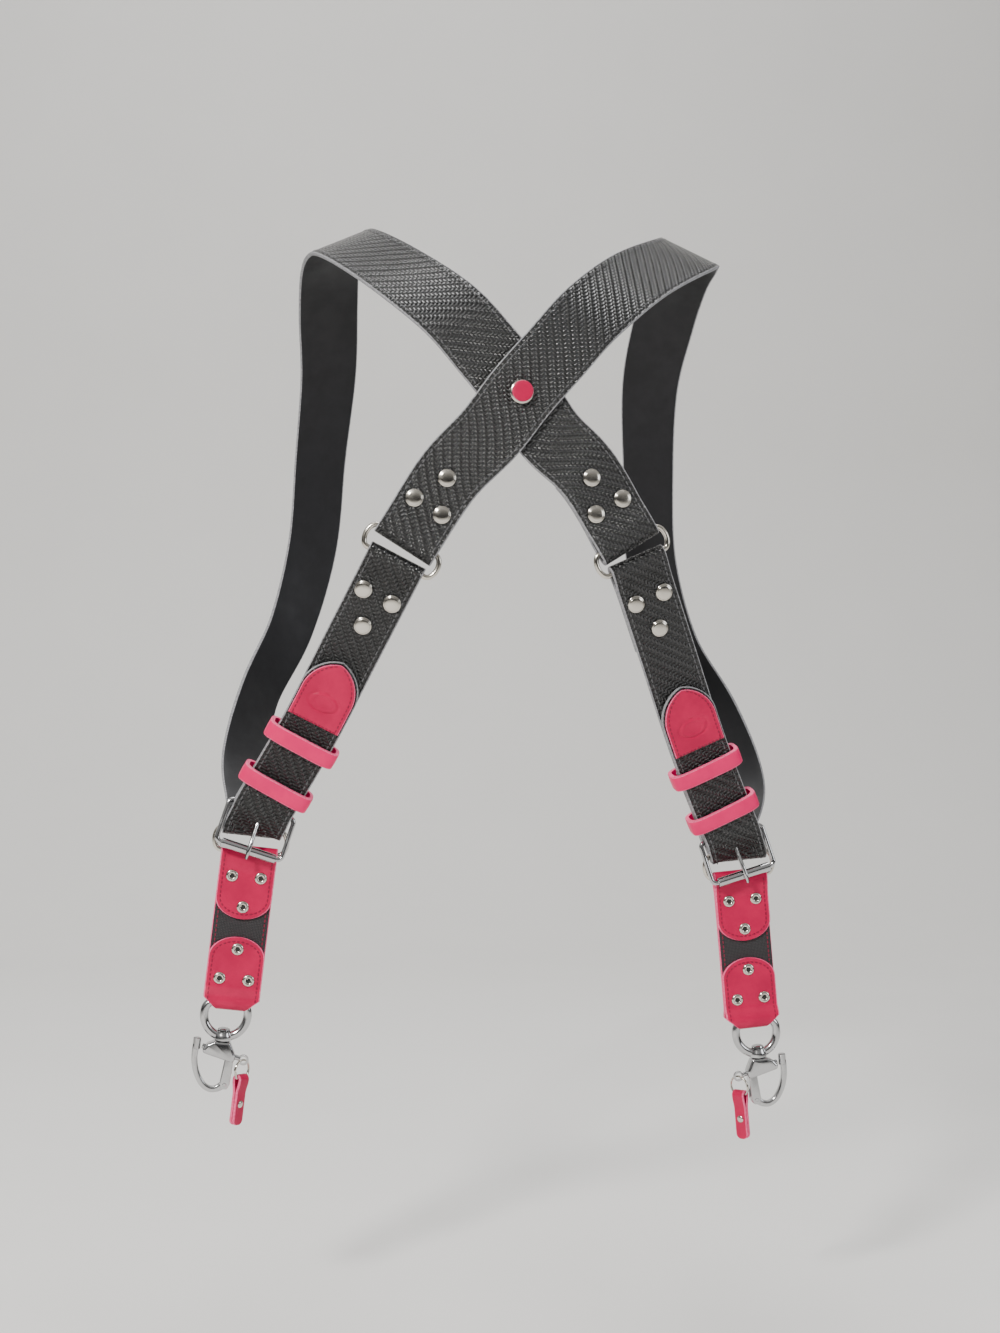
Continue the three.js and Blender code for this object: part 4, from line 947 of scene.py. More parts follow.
SHANK, CAP_SEAT = 1.7 * MM, 0.4 * MM
RIVET_HEAD, RIVET_CAP = 5 * MM, 1.6 * MM
RIVET_NEAR, RIVET_FAR, RIVET_OFF = 22 * MM, 41 * MM, 9 * MM
RIVET = cap_profile(RIVET_HEAD, SHANK, 2 * STRAP_THICKNESS + CLEAR, RIVET_CAP, CAP_SEAT)


def rivet_places(route):
    """A pair near the bar, either side of the middle, and one farther off on the middle."""
    p, n, along = route.at(np.array([RIVET_NEAR, RIVET_NEAR, RIVET_FAR]))
    across = unit(np.cross(along, n))
    return list(zip(p + across * np.array([-RIVET_OFF, RIVET_OFF, 0])[:, None], n))


for name, side in SIDES:
    for kind, route in (("strap_rivet", long_route(-side)), ("buckle_strap_rivet", buckle_route(side))):
        for number, at in enumerate(rivet_places(route), 1):
            rivet = lathe(f"{kind}_{name}_{number}_cap", [at], RIVET, [NICKEL], 32)
            place(rivet, "harness", "nickel", f"{kind}_{name}_{number}")


# Stud
# A domed nickel cap stud through the crossing, with a small pink leather disc set on it.

PINK = smooth_leather("Pink leather", (0.56, 0.0, 0.065), 0.46, 0.35, 0.8)
PINK_EDGE = raw_edge("Pink cut edge", (1.0, 0.16, 0.33), (0.8, 0.05, 0.18))

STACK = 2 * STRAP_THICKNESS + CROSSING_GAP
CROSSING = (vec(0, -BACK_DEPTH, -CROSS_DROP), vec(0, -1, 0))
STUD_HEAD, STUD_CAP, DISC_LIFT = 6.75 * MM, 2.6 * MM, 0.6 * MM
stud_profile = cap_profile(STUD_HEAD, SHANK, STACK, STUD_CAP, CAP_SEAT)
stud = lathe("stud_cap", [CROSSING], stud_profile, [NICKEL], 48)
place(stud, "harness", "nickel", "stud_post")
DISC_ROWS = (  # radius and height over the disc's foot, in mm
    (0, 1.35), (2.5, 1.36), (4.4, 1.33), (5.4, 1.2), (5.85, 0.95), (6.0, 0.6), (5.9, 0.1), (5.6, 0), (0, 0),
)
DISC_PARTS = (0, 0, 0, 0, 1, 1, 1, 1)
disc_foot = STACK / 2 + DISC_LIFT + STUD_CAP
disc_profile = np.array(DISC_ROWS) * MM + (0, disc_foot)
disc = lathe("stud_disc_leather", [CROSSING], disc_profile, [PINK, PINK_EDGE], 48, parts=DISC_PARTS)
place(disc, "harness", "pink_leather", "stud_disc")


# Roller buckles
# Single-bar heel buckles of polished wire: a bent loop whose ends meet at the heel bar, a loose
# tube as roller at its open end, and a wire prong hooked round the heel bar.

CHROME = bright_metal("Polished steel", (0.50, 0.50, 0.505), 0.11)
BUCKLE_LENGTH, BUCKLE_ROOM = 25.5 * MM, 1.2 * MM
BUCKLE_SWING = math.radians(18)


def swung(side):
    """The buckle's own frame, swung off the strap about the heel bar."""
    b, a = buckle(side), BUCKLE_SWING
    return {"heel": b["heel"], "u": b["u"], "v": b["v"] * math.cos(a) + b["n"] * math.sin(a),
            "n": b["n"] * math.cos(a) - b["v"] * math.sin(a)}

LOOP_HALF = TONGUE_WIDTH / 2 + BUCKLE_ROOM + BUCKLE_WIRE / 2
LOOP_CORNER = 3 * MM


def round_corners(corners, radius, steps=7):
    """A closed outline in X and Z with each corner swapped for an arc through its tangents."""
    corners = np.asarray(corners, float)
    before, after = unit(np.roll(corners, 1, 0) - corners), unit(np.roll(corners, -1, 0) - corners)
    half = np.arccos(np.clip(np.sum(before * after, 1), -1, 1)) / 2
    centre = corners + unit(before + after) * (radius / np.sin(half))[:, None]
    start = corners + before * (radius / np.tan(half))[:, None] - centre
    end = corners + after * (radius / np.tan(half))[:, None] - centre
    t = np.linspace(0, 1, steps)[None, :, None]
    arc = unit(start[:, None] * (1 - t) + end[:, None] * t) * radius + centre[:, None]
    return arc.reshape(-1, corners.shape[1])


def in_plane(outline):
    """X and Z pairs as points with Y zero."""
    outline = np.asarray(outline, float)
    return np.stack([outline[:, 0], 0 * outline[:, 0], outline[:, 1]], 1)


PRONG_LEG = (  # share of the buckle's length, and height off its plane in mm
    (0.08, 2.0), (0.24, 1.2), (0.4, 1.6), (0.6, 2.8), (0.8, 4.1), (1.0, 4.5), (1.2, 3.9),
)
PRONG_EYE = 2.9 * MM
PRONG_TURNS = np.radians(np.linspace(-230, 62, 26))
WIRE_STEP = 2.5 * MM
ROLLER = (  # radius and place along the roller, in mm
    (1.75, -16.3), (2.3, -16.35), (2.7, -16.1), (2.8, -15.6), (2.8, 15.6),
    (2.7, 16.1), (2.3, 16.35), (1.75, 16.3), (1.72, 0), (1.75, -16.3),
)

for name, side in SIDES:
    at = swung(side)
    here = lambda points: local(points, at["heel"], at, side)
    corners = [(-LOOP_HALF, 0), (LOOP_HALF, 0), (LOOP_HALF, -BUCKLE_LENGTH), (-LOOP_HALF, -BUCKLE_LENGTH)]
    outline = in_plane(round_corners(corners, LOOP_CORNER))
    ahead = np.roll(outline, -1, 0)
    span = np.linalg.norm(ahead - outline, axis=1)
    pieces = [np.linspace(start, end, max(int(length / WIRE_STEP), 1), endpoint=False)
              for start, end, length in zip(outline, ahead, span)]
    loop = tube(f"buckle_{name}_loop", here(np.vstack(pieces)), BUCKLE_WIRE / 2, at["n"], [CHROME])
    place(loop, "harness", "chrome", f"buckle_frame_{name}")
    axis = here([[0, 0, -BUCKLE_LENGTH]])[0]
    roller = lathe(f"buckle_{name}_roller", [(axis, at["u"])], np.array(ROLLER) * MM, [CHROME], 36)
    place(roller, "harness", "chrome", f"buckle_roller_{name}")
    a = PRONG_TURNS
    eye = np.stack([0 * a, PRONG_EYE * np.sin(-a), PRONG_EYE * np.cos(a)], 1)
    leg = np.array([(0, -off * MM, -down * BUCKLE_LENGTH) for down, off in PRONG_LEG])
    line = through(np.vstack([[[0, -PRONG_EYE, 0.3 * MM]], leg]), 8)
    thin = 1 - 0.35 * ease((np.arange(len(line)) / len(line) - 0.85) / 0.15)
    prong_leg = tube(f"buckle_{name}_prong", here(line), PRONG_WIRE / 2 * thin, at["u"], [CHROME], 16, False)
    prong_eye = tube(f"buckle_{name}_prong_eye", here(eye), PRONG_WIRE / 2, at["u"], [CHROME], 16, False)
    place(joined(f"buckle_{name}_prong", [prong_leg, prong_eye]), "harness", "chrome", f"buckle_prong_{name}")


# Keepers
# Two loops of bright pink leather, 9.5 mm wide, hold the tongue down on the buckle strap. The
# band bows a little over the edges and its cut rims are paler.

BRIGHT_PINK = smooth_leather("Bright pink leather", (0.88, 0.0, 0.13), 0.42, 0.2, 0.88)

KEEPER_WIDTH, KEEPER_THICKNESS, KEEPER_BOW, KEEPER_RISE = 9.5 * MM, 2.2 * MM, 2.8 * MM, 2.2 * MM
KEEPER_PLACES = (16.5 * MM, 47 * MM)
KEEPER_TURN = np.arange(72) / 72 * 2 * math.pi
KEEPER_SECTION = (  # share of the thickness, and share of the half width along the strap
    (0, -1), (0.12, -1), (0.88, -1), (1, -0.9), (1.02, -0.55), (1.06, 0),
    (1.02, 0.55), (1, 0.9), (0.88, 1), (0.12, 1), (0, 1), (0, 0),
)
KEEPER_PARTS = np.array([1, 1, 1, 0, 0, 0, 0, 1, 1, 1, 0, 0])
KEEPER_HIGH = 1.5 * STRAP_THICKNESS + CLEAR * 1.5 + KEEPER_RISE - CLEAR * 0.2


def keeper_ring(grow):
    """Rounded outline round the straps: across and outward, each the root of a circle's share."""
    soft = lambda v: np.sign(v) * np.sqrt(np.abs(v))
    across = (TONGUE_WIDTH / 2 + KEEPER_BOW + grow * KEEPER_THICKNESS) * soft(np.cos(KEEPER_TURN))
    out = (KEEPER_HIGH + grow * KEEPER_THICKNESS) * soft(np.sin(KEEPER_TURN))
    return across, out


for name, side in SIDES:
    route = buckle_route(side)
    for number, above in enumerate(KEEPER_PLACES, 1):
        p, n, along = route.at(route.length - above)
        p, n, along = p[0] + n[0] * FOLDED, n[0], along[0]
        across = unit(np.cross(along, n))
        (inner_a, inner_o), (outer_a, outer_o) = keeper_ring(0), keeper_ring(1)
        wave = 1 + 0.02 * np.sin(3 * KEEPER_TURN + number)
        rings = []
        for grow, reach in KEEPER_SECTION:
            a, o = inner_a + (outer_a - inner_a) * grow, inner_o + (outer_o - inner_o) * grow
            edge = along * (reach * wave * KEEPER_WIDTH / 2)[:, None]
            rings.append(p + across * a[:, None] + n * o[:, None] + edge)
        band = grid_mesh(f"keeper_{name}_{number}_band", np.stack(rings, 1), [BRIGHT_PINK, PINK_EDGE],
                         KEEPER_PARTS, closed=True)
        place(band, "harness", "bright_pink_leather", f"keeper_{name}_{number}")


# Tip patches
# A pointed patch of pink leather glued and stitched on the tongue's end, with a plain oval
# pressed into it. The oval carries no mark.

PINK_THREAD = thread("Deep pink thread", (0.22, 0.0, 0.03))

PATCH_FOOT, PATCH_MARGIN, PATCH_THICKNESS = 62 * MM, 1.3 * MM, 1.2 * MM
PATCH_HALF = TONGUE_WIDTH / 2 - PATCH_MARGIN
PATCH_REACH = TONGUE_REACH - PATCH_MARGIN
OVAL_AT, OVAL_HALF_WIDE, OVAL_HALF_LONG = PATCH_FOOT + 13.5 * MM, 9.2 * MM, 5.6 * MM
PATCH_SEAM_INSET, PINK_PITCH, PINK_STITCH = 2.2 * MM, 2.6 * MM, 2 * MM
FOOT_STITCHES, FOOT_INSET = 12, 2.8 * MM


def oval_press(share, v):
    """Height of the pressed oval's rolled line: a narrow groove where the ellipse distance is one."""
    x, y = share * PATCH_HALF / OVAL_HALF_WIDE, (v - OVAL_AT) / OVAL_HALF_LONG
    away = np.sqrt(x**2 + y**2) - 1
    groove = -0.42 * np.exp(-((away / 0.09) ** 2))
    swell = 0.2 * np.exp(-(((away + 0.24) / 0.12) ** 2))
    return (groove + swell) * MM


for name, side in SIDES:
    route = buckle_route(side)
    above = np.concatenate([np.linspace(PATCH_FOOT, PATCH_REACH - TIP_LENGTH, 60),
                            PATCH_REACH - TIP_LENGTH * (1 - np.linspace(0.04, 0.998, 30) ** 0.8)])
    p, n, _ = route.at(route.length - above)
    w = np.maximum(tip_half(PATCH_REACH - above, PATCH_HALF, TIP_LENGTH), TIP_LEAST)
    middle = STRAP_THICKNESS / 2 + CLEAR + PATCH_THICKNESS / 2
    p = p + n * (tongue_height(above) + middle)[:, None]
    sewn = [strip(f"tip_patch_{name}_leather", p, n, w, PATCH_THICKNESS, 0.45 * MM,
                  [PINK, PINK_EDGE, PINK_EDGE], 61, PATCH_FOOT, oval_press)]
    inset = np.maximum(w - PATCH_SEAM_INSET, 0)
    keep = np.flatnonzero(inset > 1.5 * MM)[2:]
    for edge in (-1, 1):
        sewn.append(seam(f"patch_seam_{name}_{edge}", p[keep], n[keep], edge * inset[keep],
                         PATCH_THICKNESS / 2, PINK_THREAD, PINK_PITCH, PINK_STITCH))
    _, across, out = strip_frames(p, n)
    foot_share = np.linspace(-1, 1, FOOT_STITCHES)[:, None]
    foot = p[2] + across[2] * foot_share * (PATCH_HALF - FOOT_INSET)
    sewn.append(stitches(f"patch_foot_{name}", foot + out[2] * PATCH_THICKNESS / 2,
                         np.repeat(across[2:3], FOOT_STITCHES, 0), np.repeat(out[2:3], FOOT_STITCHES, 0),
                         PINK_THREAD, PINK_STITCH))
    place(joined(f"tip_patch_{name}_leather", sewn), "harness", "pink_leather", f"tip_patch_{name}")


# Camera tabs
# One pink leather strip folded round the hip ring at the top and round the shackle's eye at the
# foot. Its two flaps end round, are stitched with dark pink thread and riveted with three tubular
# rivets each; a black nylon facing shows between them.

def nylon_group():
    """Plain basket weave of thick nylon: threads pass over one and under one."""
    tree, given, out = group(
        "Nylon",
        [("UV", "NodeSocketVector", None), ("Thread", "NodeSocketFloat", 0.9 * MM)],
        [("Height", "NodeSocketFloat")],
    )
    split = tree.nodes.new("ShaderNodeSeparateXYZ")
    tree.links.new(given["UV"], split.inputs[0])
    u = math_node(tree, "DIVIDE", split.outputs[0], given["Thread"])
    v = math_node(tree, "DIVIDE", split.outputs[1], given["Thread"])
    wave = math_node(
        tree,
        "MULTIPLY",
        math_node(tree, "SINE", math_node(tree, "MULTIPLY", u, math.pi)),
        math_node(tree, "SINE", math_node(tree, "MULTIPLY", v, math.pi)),
    )
    tree.links.new(math_node(tree, "ABSOLUTE", wave), out["Height"])
    return tree


def nylon_fabric():
    """Coarse black nylon facing, with painted shade in the low gaps between threads and a painted highlight
    on their crowns.
    """
    made, tree, bsdf = material("Nylon facing")
    weave = use(tree, NYLON, UV=strap_uv(tree))
    # Painted light: the colour runs from dark in the gaps between threads to lighter on the thread crowns.
    tint(tree, bsdf, weave["Height"], (0.004, 0.004, 0.005), (0.045, 0.043, 0.046))
    bsdf.inputs["Roughness"].default_value = 0.55
    bump(tree, bsdf, weave["Height"], 1.0, 0.3 * MM)
    return made


NYLON = nylon_group()
FACING = nylon_fabric()

TAB_HALF, TAB_FOOT_HALF, TAB_THICKNESS, TAB_FLAP, TAB_ROUND = 16.3 * MM, 7.5 * MM, 2 * MM, 42.5 * MM, 12 * MM
TAB_FOLDED, TAB_TOP_FOLD, TAB_FOOT_FOLD = 1.15 * MM, 2.8 * MM, 3.8 * MM
TAB_TOP, TAB_FOOT = 3.8 * MM, -91.7 * MM
TAB_EYE_AT = -94.9 * MM
TAB_FOOT_AT = -86.9 * MM
UPPER_END, LOWER_END = TAB_TOP - TAB_FLAP, TAB_FOOT + TAB_FLAP


def tab_depth(z):
    """Distance of a layer's middle from the tab's middle: the folds', easing to the flat stretch's."""
    top = TAB_TOP_FOLD + (TAB_FOLDED - TAB_TOP_FOLD) * ease((-z - 2.5 * MM) / (10 * MM))
    foot = TAB_FOOT_FOLD + (TAB_FOLDED - TAB_FOOT_FOLD) * ease((z - TAB_FOOT_AT - 2 * MM) / (7 * MM))
    return np.maximum(top, foot)


def tab_half(z, end=None):
    """Half width: narrower at the foot fold, and round at a flap's end."""
    t = np.clip((z - TAB_FOOT) / (7 * MM), 0, 1)
    half = TAB_FOOT_HALF + (TAB_HALF - TAB_FOOT_HALF) * t
    if end is None:
        return half
    return half * np.sqrt(np.clip(1 - (1 - np.clip(np.abs(z - end) / TAB_ROUND, 0, 1)) ** 2, 0.004, 1))


def flap(z, end):
    """A flap's places, normals and half widths, from its round end toward its fold."""
    return np.stack([0 * z, -tab_depth(z), z], 1), np.tile([0, -1.0, 0], (len(z), 1)), tab_half(z, end)


TUBE_RIVET = (  # radius and height over the flap's face, in mm
    (1.2, 0.03), (1.3, 0.45), (1.75, 0.85), (2.3, 0.98), (2.95, 0.78), (3.45, 0.38), (3.6, 0.05), (3.4, -0.1),
)
TUBE_EYE = ((1.4, 0.14), (0.7, 0.08), (0.01, 0.06))
TUBE_PLACES = ((-8.3, -14.2), (8.3, -14.2), (0, -31.7), (-8.3, -73.7), (8.3, -73.7), (0, -56.2))
TAB_SEAM_INSET, FACING_INSET, FACING_ROWS, SEAM_ROWS = 2.6 * MM, 0.4 * MM, 12, 90
CURVE_SHARE, SEAM_RUN = 0.42, 25 * MM
tube_face = TAB_FOLDED + TAB_THICKNESS / 2

for name, side in SIDES:
    at = hip(side)
    origin = at["lower"]
    z = UPPER_END + (1 - np.cos(np.linspace(0.02, math.pi / 2, 16))) * TAB_ROUND
    z = np.concatenate([z, np.linspace(UPPER_END + TAB_ROUND + 1 * MM, -1.5 * MM, 16)])
    a = np.linspace(0.05, math.pi - 0.05, 14)
    p, n, w = flap(z, UPPER_END)
    places, normals, halves = [p], [n], [w]
    places.append(np.stack([0 * a, -np.cos(a) * TAB_TOP_FOLD, np.sin(a) * TAB_TOP_FOLD], 1))
    normals.append(np.stack([0 * a, -np.cos(a), np.sin(a)], 1))
    halves.append(np.full(len(a), TAB_HALF))
    back = np.linspace(-1.5 * MM, TAB_FOOT_AT + 0.5 * MM, 40)
    places.append(np.stack([0 * back, tab_depth(back), back], 1))
    normals.append(np.tile([0, 1.0, 0], (len(back), 1)))
    halves.append(tab_half(back))
    foot = np.stack([0 * a, np.cos(a) * TAB_FOOT_FOLD, TAB_FOOT_AT - np.sin(a) * TAB_FOOT_FOLD], 1)
    places.append(foot)
    normals.append(np.stack([0 * a, np.cos(a), -np.sin(a)], 1))
    halves.append(tab_half(foot[:, 2]))
    z = LOWER_END - (1 - np.cos(np.linspace(0.02, math.pi / 2, 16))) * TAB_ROUND
    z = np.concatenate([z, np.linspace(LOWER_END - TAB_ROUND - 1 * MM, TAB_FOOT_AT + 0.5 * MM, 16)])[::-1]
    p, n, w = flap(z, LOWER_END)
    places.append(p)
    normals.append(n)
    halves.append(w)
    p, n = local(np.concatenate(places), origin, at, side), local(np.concatenate(normals), 0, at, side)
    sewn = [strip(f"camera_tab_{name}_leather", p, n, np.concatenate(halves), TAB_THICKNESS, 0.75 * MM,
                  [PINK, PINK, PINK_EDGE])]
    for end, toward in ((UPPER_END, 1), (LOWER_END, -1)):
        t = np.linspace(-1, 1, SEAM_ROWS)
        bend = math.pi / 2 * np.clip(np.abs(t) / CURVE_SHARE, 0, 1)
        x = np.sign(t) * (TAB_HALF - TAB_SEAM_INSET) * np.sin(bend)
        run = SEAM_RUN * np.clip((np.abs(t) - CURVE_SHARE) / (1 - CURVE_SHARE), 0, 1)
        z = end + toward * (TAB_SEAM_INSET + (TAB_ROUND - TAB_SEAM_INSET) * (1 - np.cos(bend)) + run)
        line = local(np.stack([x, -tab_depth(z) - TAB_THICKNESS / 2 - PROUD, z], 1), origin, at, side)
        sewn.append(seam(f"tab_seam_{name}_{toward}", line, np.tile(at["n"], (SEAM_ROWS, 1)), 0 * t, 0,
                         PINK_THREAD, PINK_PITCH, PINK_STITCH))
    z = np.linspace(UPPER_END + TAB_ROUND, LOWER_END - TAB_ROUND, FACING_ROWS)
    facing_p = local(np.stack([0 * z, 0 * z - 0.28 * MM, z], 1), origin, at, side)
    facing_n = np.tile(at["n"], (FACING_ROWS, 1))
    sewn.append(strip(f"tab_facing_{name}", facing_p, facing_n, np.full(FACING_ROWS, TAB_HALF - FACING_INSET),
                      0.6 * MM, 0.2 * MM, [FACING, FACING, PINK_EDGE]))
    for edge in (-1, 1):
        sewn.append(seam(f"facing_seam_{name}_{edge}", facing_p, facing_n, edge * (TAB_HALF - TAB_SEAM_INSET),
                         0.32 * MM, PINK_THREAD, PINK_PITCH, PINK_STITCH))
    place(joined(f"camera_tab_{name}_leather", sewn), "harness", "pink_leather", f"camera_tab_{name}")
    for number, (x, z) in enumerate(TUBE_PLACES, 1):
        face = local([[x * MM, -tube_face, z * MM]], origin, at, side)[0]
        faces = [(face, at["n"]), (face - at["n"] * 2 * tube_face, -at["n"])]
        piece = f"tab_rivet_{name}_{number}"
        shell = lathe(f"{piece}_tube", faces, np.array(TUBE_RIVET) * MM, [NICKEL], 32)
        # The rivet's bore is a disc of painted shade.
        hollow = lathe(f"{piece}_eye", faces[:1], np.array(TUBE_EYE) * MM, [HOLE_SHADE], 24)
        place(joined(f"{piece}_tube", [shell, hollow]), "harness", "nickel", piece)


# Snap shackles
# Cast and polished steel swivel snap shackles. The eye hangs in the tab's foot fold; the body
# turns on its post, the gate hinges on the arm's foot and a spring plunger pin locks it.
# A split ring with a folded pink pull tab draws the pin.

EYE_WIRE, EYE_REACH, EYE_RISE, EYE_OUT = 5 * MM, 12.4 * MM, 8 * MM, 2 * MM
PIN_TILT = math.tan(math.radians(14))
PIN_HEAD_AT, PIN_TIP_AT = -13.1, 11.35
PIVOT = (-3.9 * MM, -39.5 * MM)
PIN_LEVEL, PIN_RADIUS = -21.6, 1.5 * MM
GATE_WIDE, GATE_HIGH, GATE_THICK = 15 * MM, 39.5 * MM, 2 * MM
GATE_ROWS = (  # shares of the gate's width and height
    (-0.26, 1), (0, 1.075), (0.3, 1.09), (0.6, 1.02), (0.85, 0.87), (0.98, 0.7), (1.0, 0.56), (0.97, 0.46),
)
BELL = (  # X and Z in mm, the foot's Z from its slope
    (-4.5, -15), (4.5, -15), (8.5, -17), (11, -20), (10.5, None), (-8, None), (-8, -22),
)
HUB_ROWS = (  # radius and height under the eye's middle, in mm
    (2.3, -14.7), (4.6, -14.7), (5.15, -14.2), (5.2, -12.6), (4.9, -11.4), (4.4, -10.4),
    (4.2, -9.5), (2.3, -9.5), (2.3, -14.7),
)
POST_CAP = ((0, 0), (3.3, 0), (3.7, 0.4), (3.5, 1.2), (2.4, 1.8), (0, 1.95))
PIN_HEAD = (  # radius and height off the pin's axis, in mm
    (1.9, -0.8), (2.9, -0.8), (3.1, -0.55), (3.1, 0.55), (2.9, 0.8), (1.9, 0.8), (1.85, 0), (1.9, -0.8),
)
ARM_AT, ARM_HALF, ARM_RISE, WEB_FOOT = -5.2, 2.3, 4, -33.2 * MM
PULL_TURN = math.radians(40)
PULL_RING, PULL_WIRE, PULL_PITCH = 6 * MM, 0.5 * MM, 1.15 * MM
PULL_HALF, PULL_THICKNESS, PULL_BEND, PULL_DROP = 4 * MM, 1.7 * MM, 2.25 * MM, 27 * MM
PULL_RIVET = ((0, 0.75), (1.2, 0.68), (1.9, 0.4), (2.15, 0.05), (2.0, -0.1))


def bell_foot(x):
    """Height of the body's sloping foot, in mm."""
    return -25 + x * PIN_TILT


def slab(outline, depth, bevel):
    """Rings of a cast block: an outline in X and Z, thick along Y, with softly rounded edges."""
    outline = np.asarray(outline, float)
    after, before = np.roll(outline, -1, 0), np.roll(outline, 1, 0)
    tangent = unit(after - before)
    inward = np.stack([-tangent[:, 1], tangent[:, 0]], 1)
    area = np.sum(outline[:, 0] * after[:, 1] - after[:, 0] * outline[:, 1])
    inward *= np.sign(area)
    a = np.linspace(0, math.pi / 2, 6)
    shrink = np.concatenate([1 - np.sin(a), (1 - np.sin(a))[::-1]]) * bevel
    y = depth / 2 - bevel * (1 - np.cos(a))
    y = np.concatenate([-y, y[::-1]])
    flat = outline[None] + inward[None] * shrink[:, None, None]
    points = np.stack([flat[..., 0], np.broadcast_to(y[:, None], flat.shape[:2]), flat[..., 1]], -1)
    return points


def rod(a, b, radius, bevel=0.25 * MM):
    """Profile stations of a turned pin from a to b for lathe: centre, axis and rows."""
    a, b = np.asarray(a, float), np.asarray(b, float)
    length = np.linalg.norm(b - a)
    rows = [(0, 0), (radius - bevel, 0), (radius, bevel),
            (radius, length - bevel), (radius - bevel, length), (0, length)]
    return (a, b - a), rows


for name, side in SIDES:
    at = hip(side)
    origin = local([[side * EYE_OUT, 0, TAB_EYE_AT]], at["lower"], at, side)[0]
    out, shackle = side, f"shackle_{name}"
    here = lambda points: local(points, origin, at, side)
    spot = lambda x, y, z: here([[x, y, z]])[0]
    turn = np.arange(72) / 72 * 2 * math.pi
    squash = np.where(np.sin(turn) > 0, (np.abs(np.cos(turn)) ** 3 + np.abs(np.sin(turn)) ** 3) ** (1 / 3), 1)
    x = EYE_REACH * np.cos(turn) / squash
    z = np.where(np.sin(turn) > 0, EYE_RISE, EYE_REACH) * np.sin(turn) / squash
    thick = EYE_WIRE / 2 * (1 + 0.12 * ease(-np.sin(turn) - 0.4))
    eye_loop = tube(f"{shackle}_eye_loop", here(np.stack([x, 0 * x, z], 1)), thick, at["n"], [CHROME], 24)
    hub = lathe(f"{shackle}_hub", [(origin, -at["v"])], np.array(HUB_ROWS) * MM, [CHROME], 40)
    place(joined(f"{shackle}_eye_loop", [eye_loop, hub]), "harness", "chrome", f"shackle_eye_{name}")

    corners = np.array([(out * a, b if b is not None else bell_foot(a)) for a, b in BELL]) * MM
    bell = slab(round_corners(corners, 1.6 * MM), 9 * MM, 1.6 * MM)
    body = [grid_mesh(f"{shackle}_bell", here(bell), [CHROME])]
    top_z = (bell_foot(ARM_AT) + ARM_RISE) * MM
    hinge_x, hinge_z = out * PIVOT[0], PIVOT[1]
    top = [(out * (ARM_AT - ARM_HALF) * MM, top_z), (out * (ARM_AT + ARM_HALF) * MM, top_z)]
    arm = top + [
        (hinge_x + out * 2.7 * MM, hinge_z + 0.4 * MM), (hinge_x + out * 1.6 * MM, hinge_z - 2.6 * MM),
        (hinge_x - out * 1.6 * MM, hinge_z - 2.6 * MM), (hinge_x - out * 3.0 * MM, hinge_z + 0.4 * MM),
    ]
    cheek = slab(round_corners(arm, 0.9 * MM), 1.65 * MM, 0.55 * MM)
    for cheek_side in (-1, 1):
        moved = cheek + vec(0, cheek_side * 3.15 * MM, 0)
        body.append(grid_mesh(f"{shackle}_arm_{cheek_side}", here(moved), [CHROME]))
    web = top + [(out * (ARM_AT + 2.1) * MM, WEB_FOOT), (out * (ARM_AT - 2.1) * MM, WEB_FOOT)]
    body.append(grid_mesh(f"{shackle}_web", here(slab(round_corners(web, 0.8 * MM), 7.6 * MM, 0.8 * MM)),
                          [CHROME]))
    turned = (
        rod(spot(0, 0, -16 * MM), spot(0, 0, -7.6 * MM), 2 * MM),
        ((spot(0, 0, -9.1 * MM), -at["v"]), np.array(POST_CAP) * MM),
        rod(spot(hinge_x, -4.25 * MM, hinge_z), spot(hinge_x, 4.25 * MM, hinge_z), 1.35 * MM, 0.4 * MM),
    )
    for number, (stand, rows) in enumerate(turned):
        body.append(lathe(f"{shackle}_turned_{number}", [stand], rows, [CHROME], 32))
    place(joined(f"{shackle}_bell", body), shackle, "chrome", f"shackle_body_{name}")

    rows = np.array([(out * a * GATE_WIDE, -b * GATE_HIGH) for a, b in GATE_ROWS])
    curve = through(rows, 8)
    tangent = unit(np.gradient(curve, axis=0))
    normal = np.stack([-tangent[:, 1], tangent[:, 0]], 1)
    t = np.linspace(0, 1, len(curve))
    ends = 0.5 * np.exp(-((t - 0.02) / 0.12) ** 2) + 0.35 * np.exp(-((t - 0.97) / 0.1) ** 2)
    wide = (1.8 + ends) * MM
    sector = np.arange(28) / 28 * 2 * math.pi
    soft = lambda v: np.sign(v) * np.abs(v) ** 0.6
    middle, lean = in_plane(curve)[:, None], in_plane(normal)[:, None]
    flank = lean * (wide[:, None] * soft(np.cos(sector)))[..., None]
    hook = middle + flank + vec(0, GATE_THICK, 0) * soft(np.sin(sector))[:, None]
    gate = [grid_mesh(f"gate_{name}_hook", here(hook), [CHROME])]
    lug_x, lug_z = rows[-1]
    knuckle = rod(spot(hinge_x, -2 * MM, hinge_z), spot(hinge_x, 2 * MM, hinge_z), 2.8 * MM, 0.5 * MM)
    lug = rod(spot(lug_x, 0, lug_z - 3 * MM), spot(lug_x, 0, lug_z + 4 * MM), 2.3 * MM, 0.5 * MM)
    for number, (stand, profile) in enumerate((knuckle, lug)):
        gate.append(lathe(f"gate_{name}_turned_{number}", [stand], profile, [CHROME], 32))
    place(joined(f"gate_{name}_hook", gate), f"gate_{name}", "chrome", f"shackle_gate_{name}")

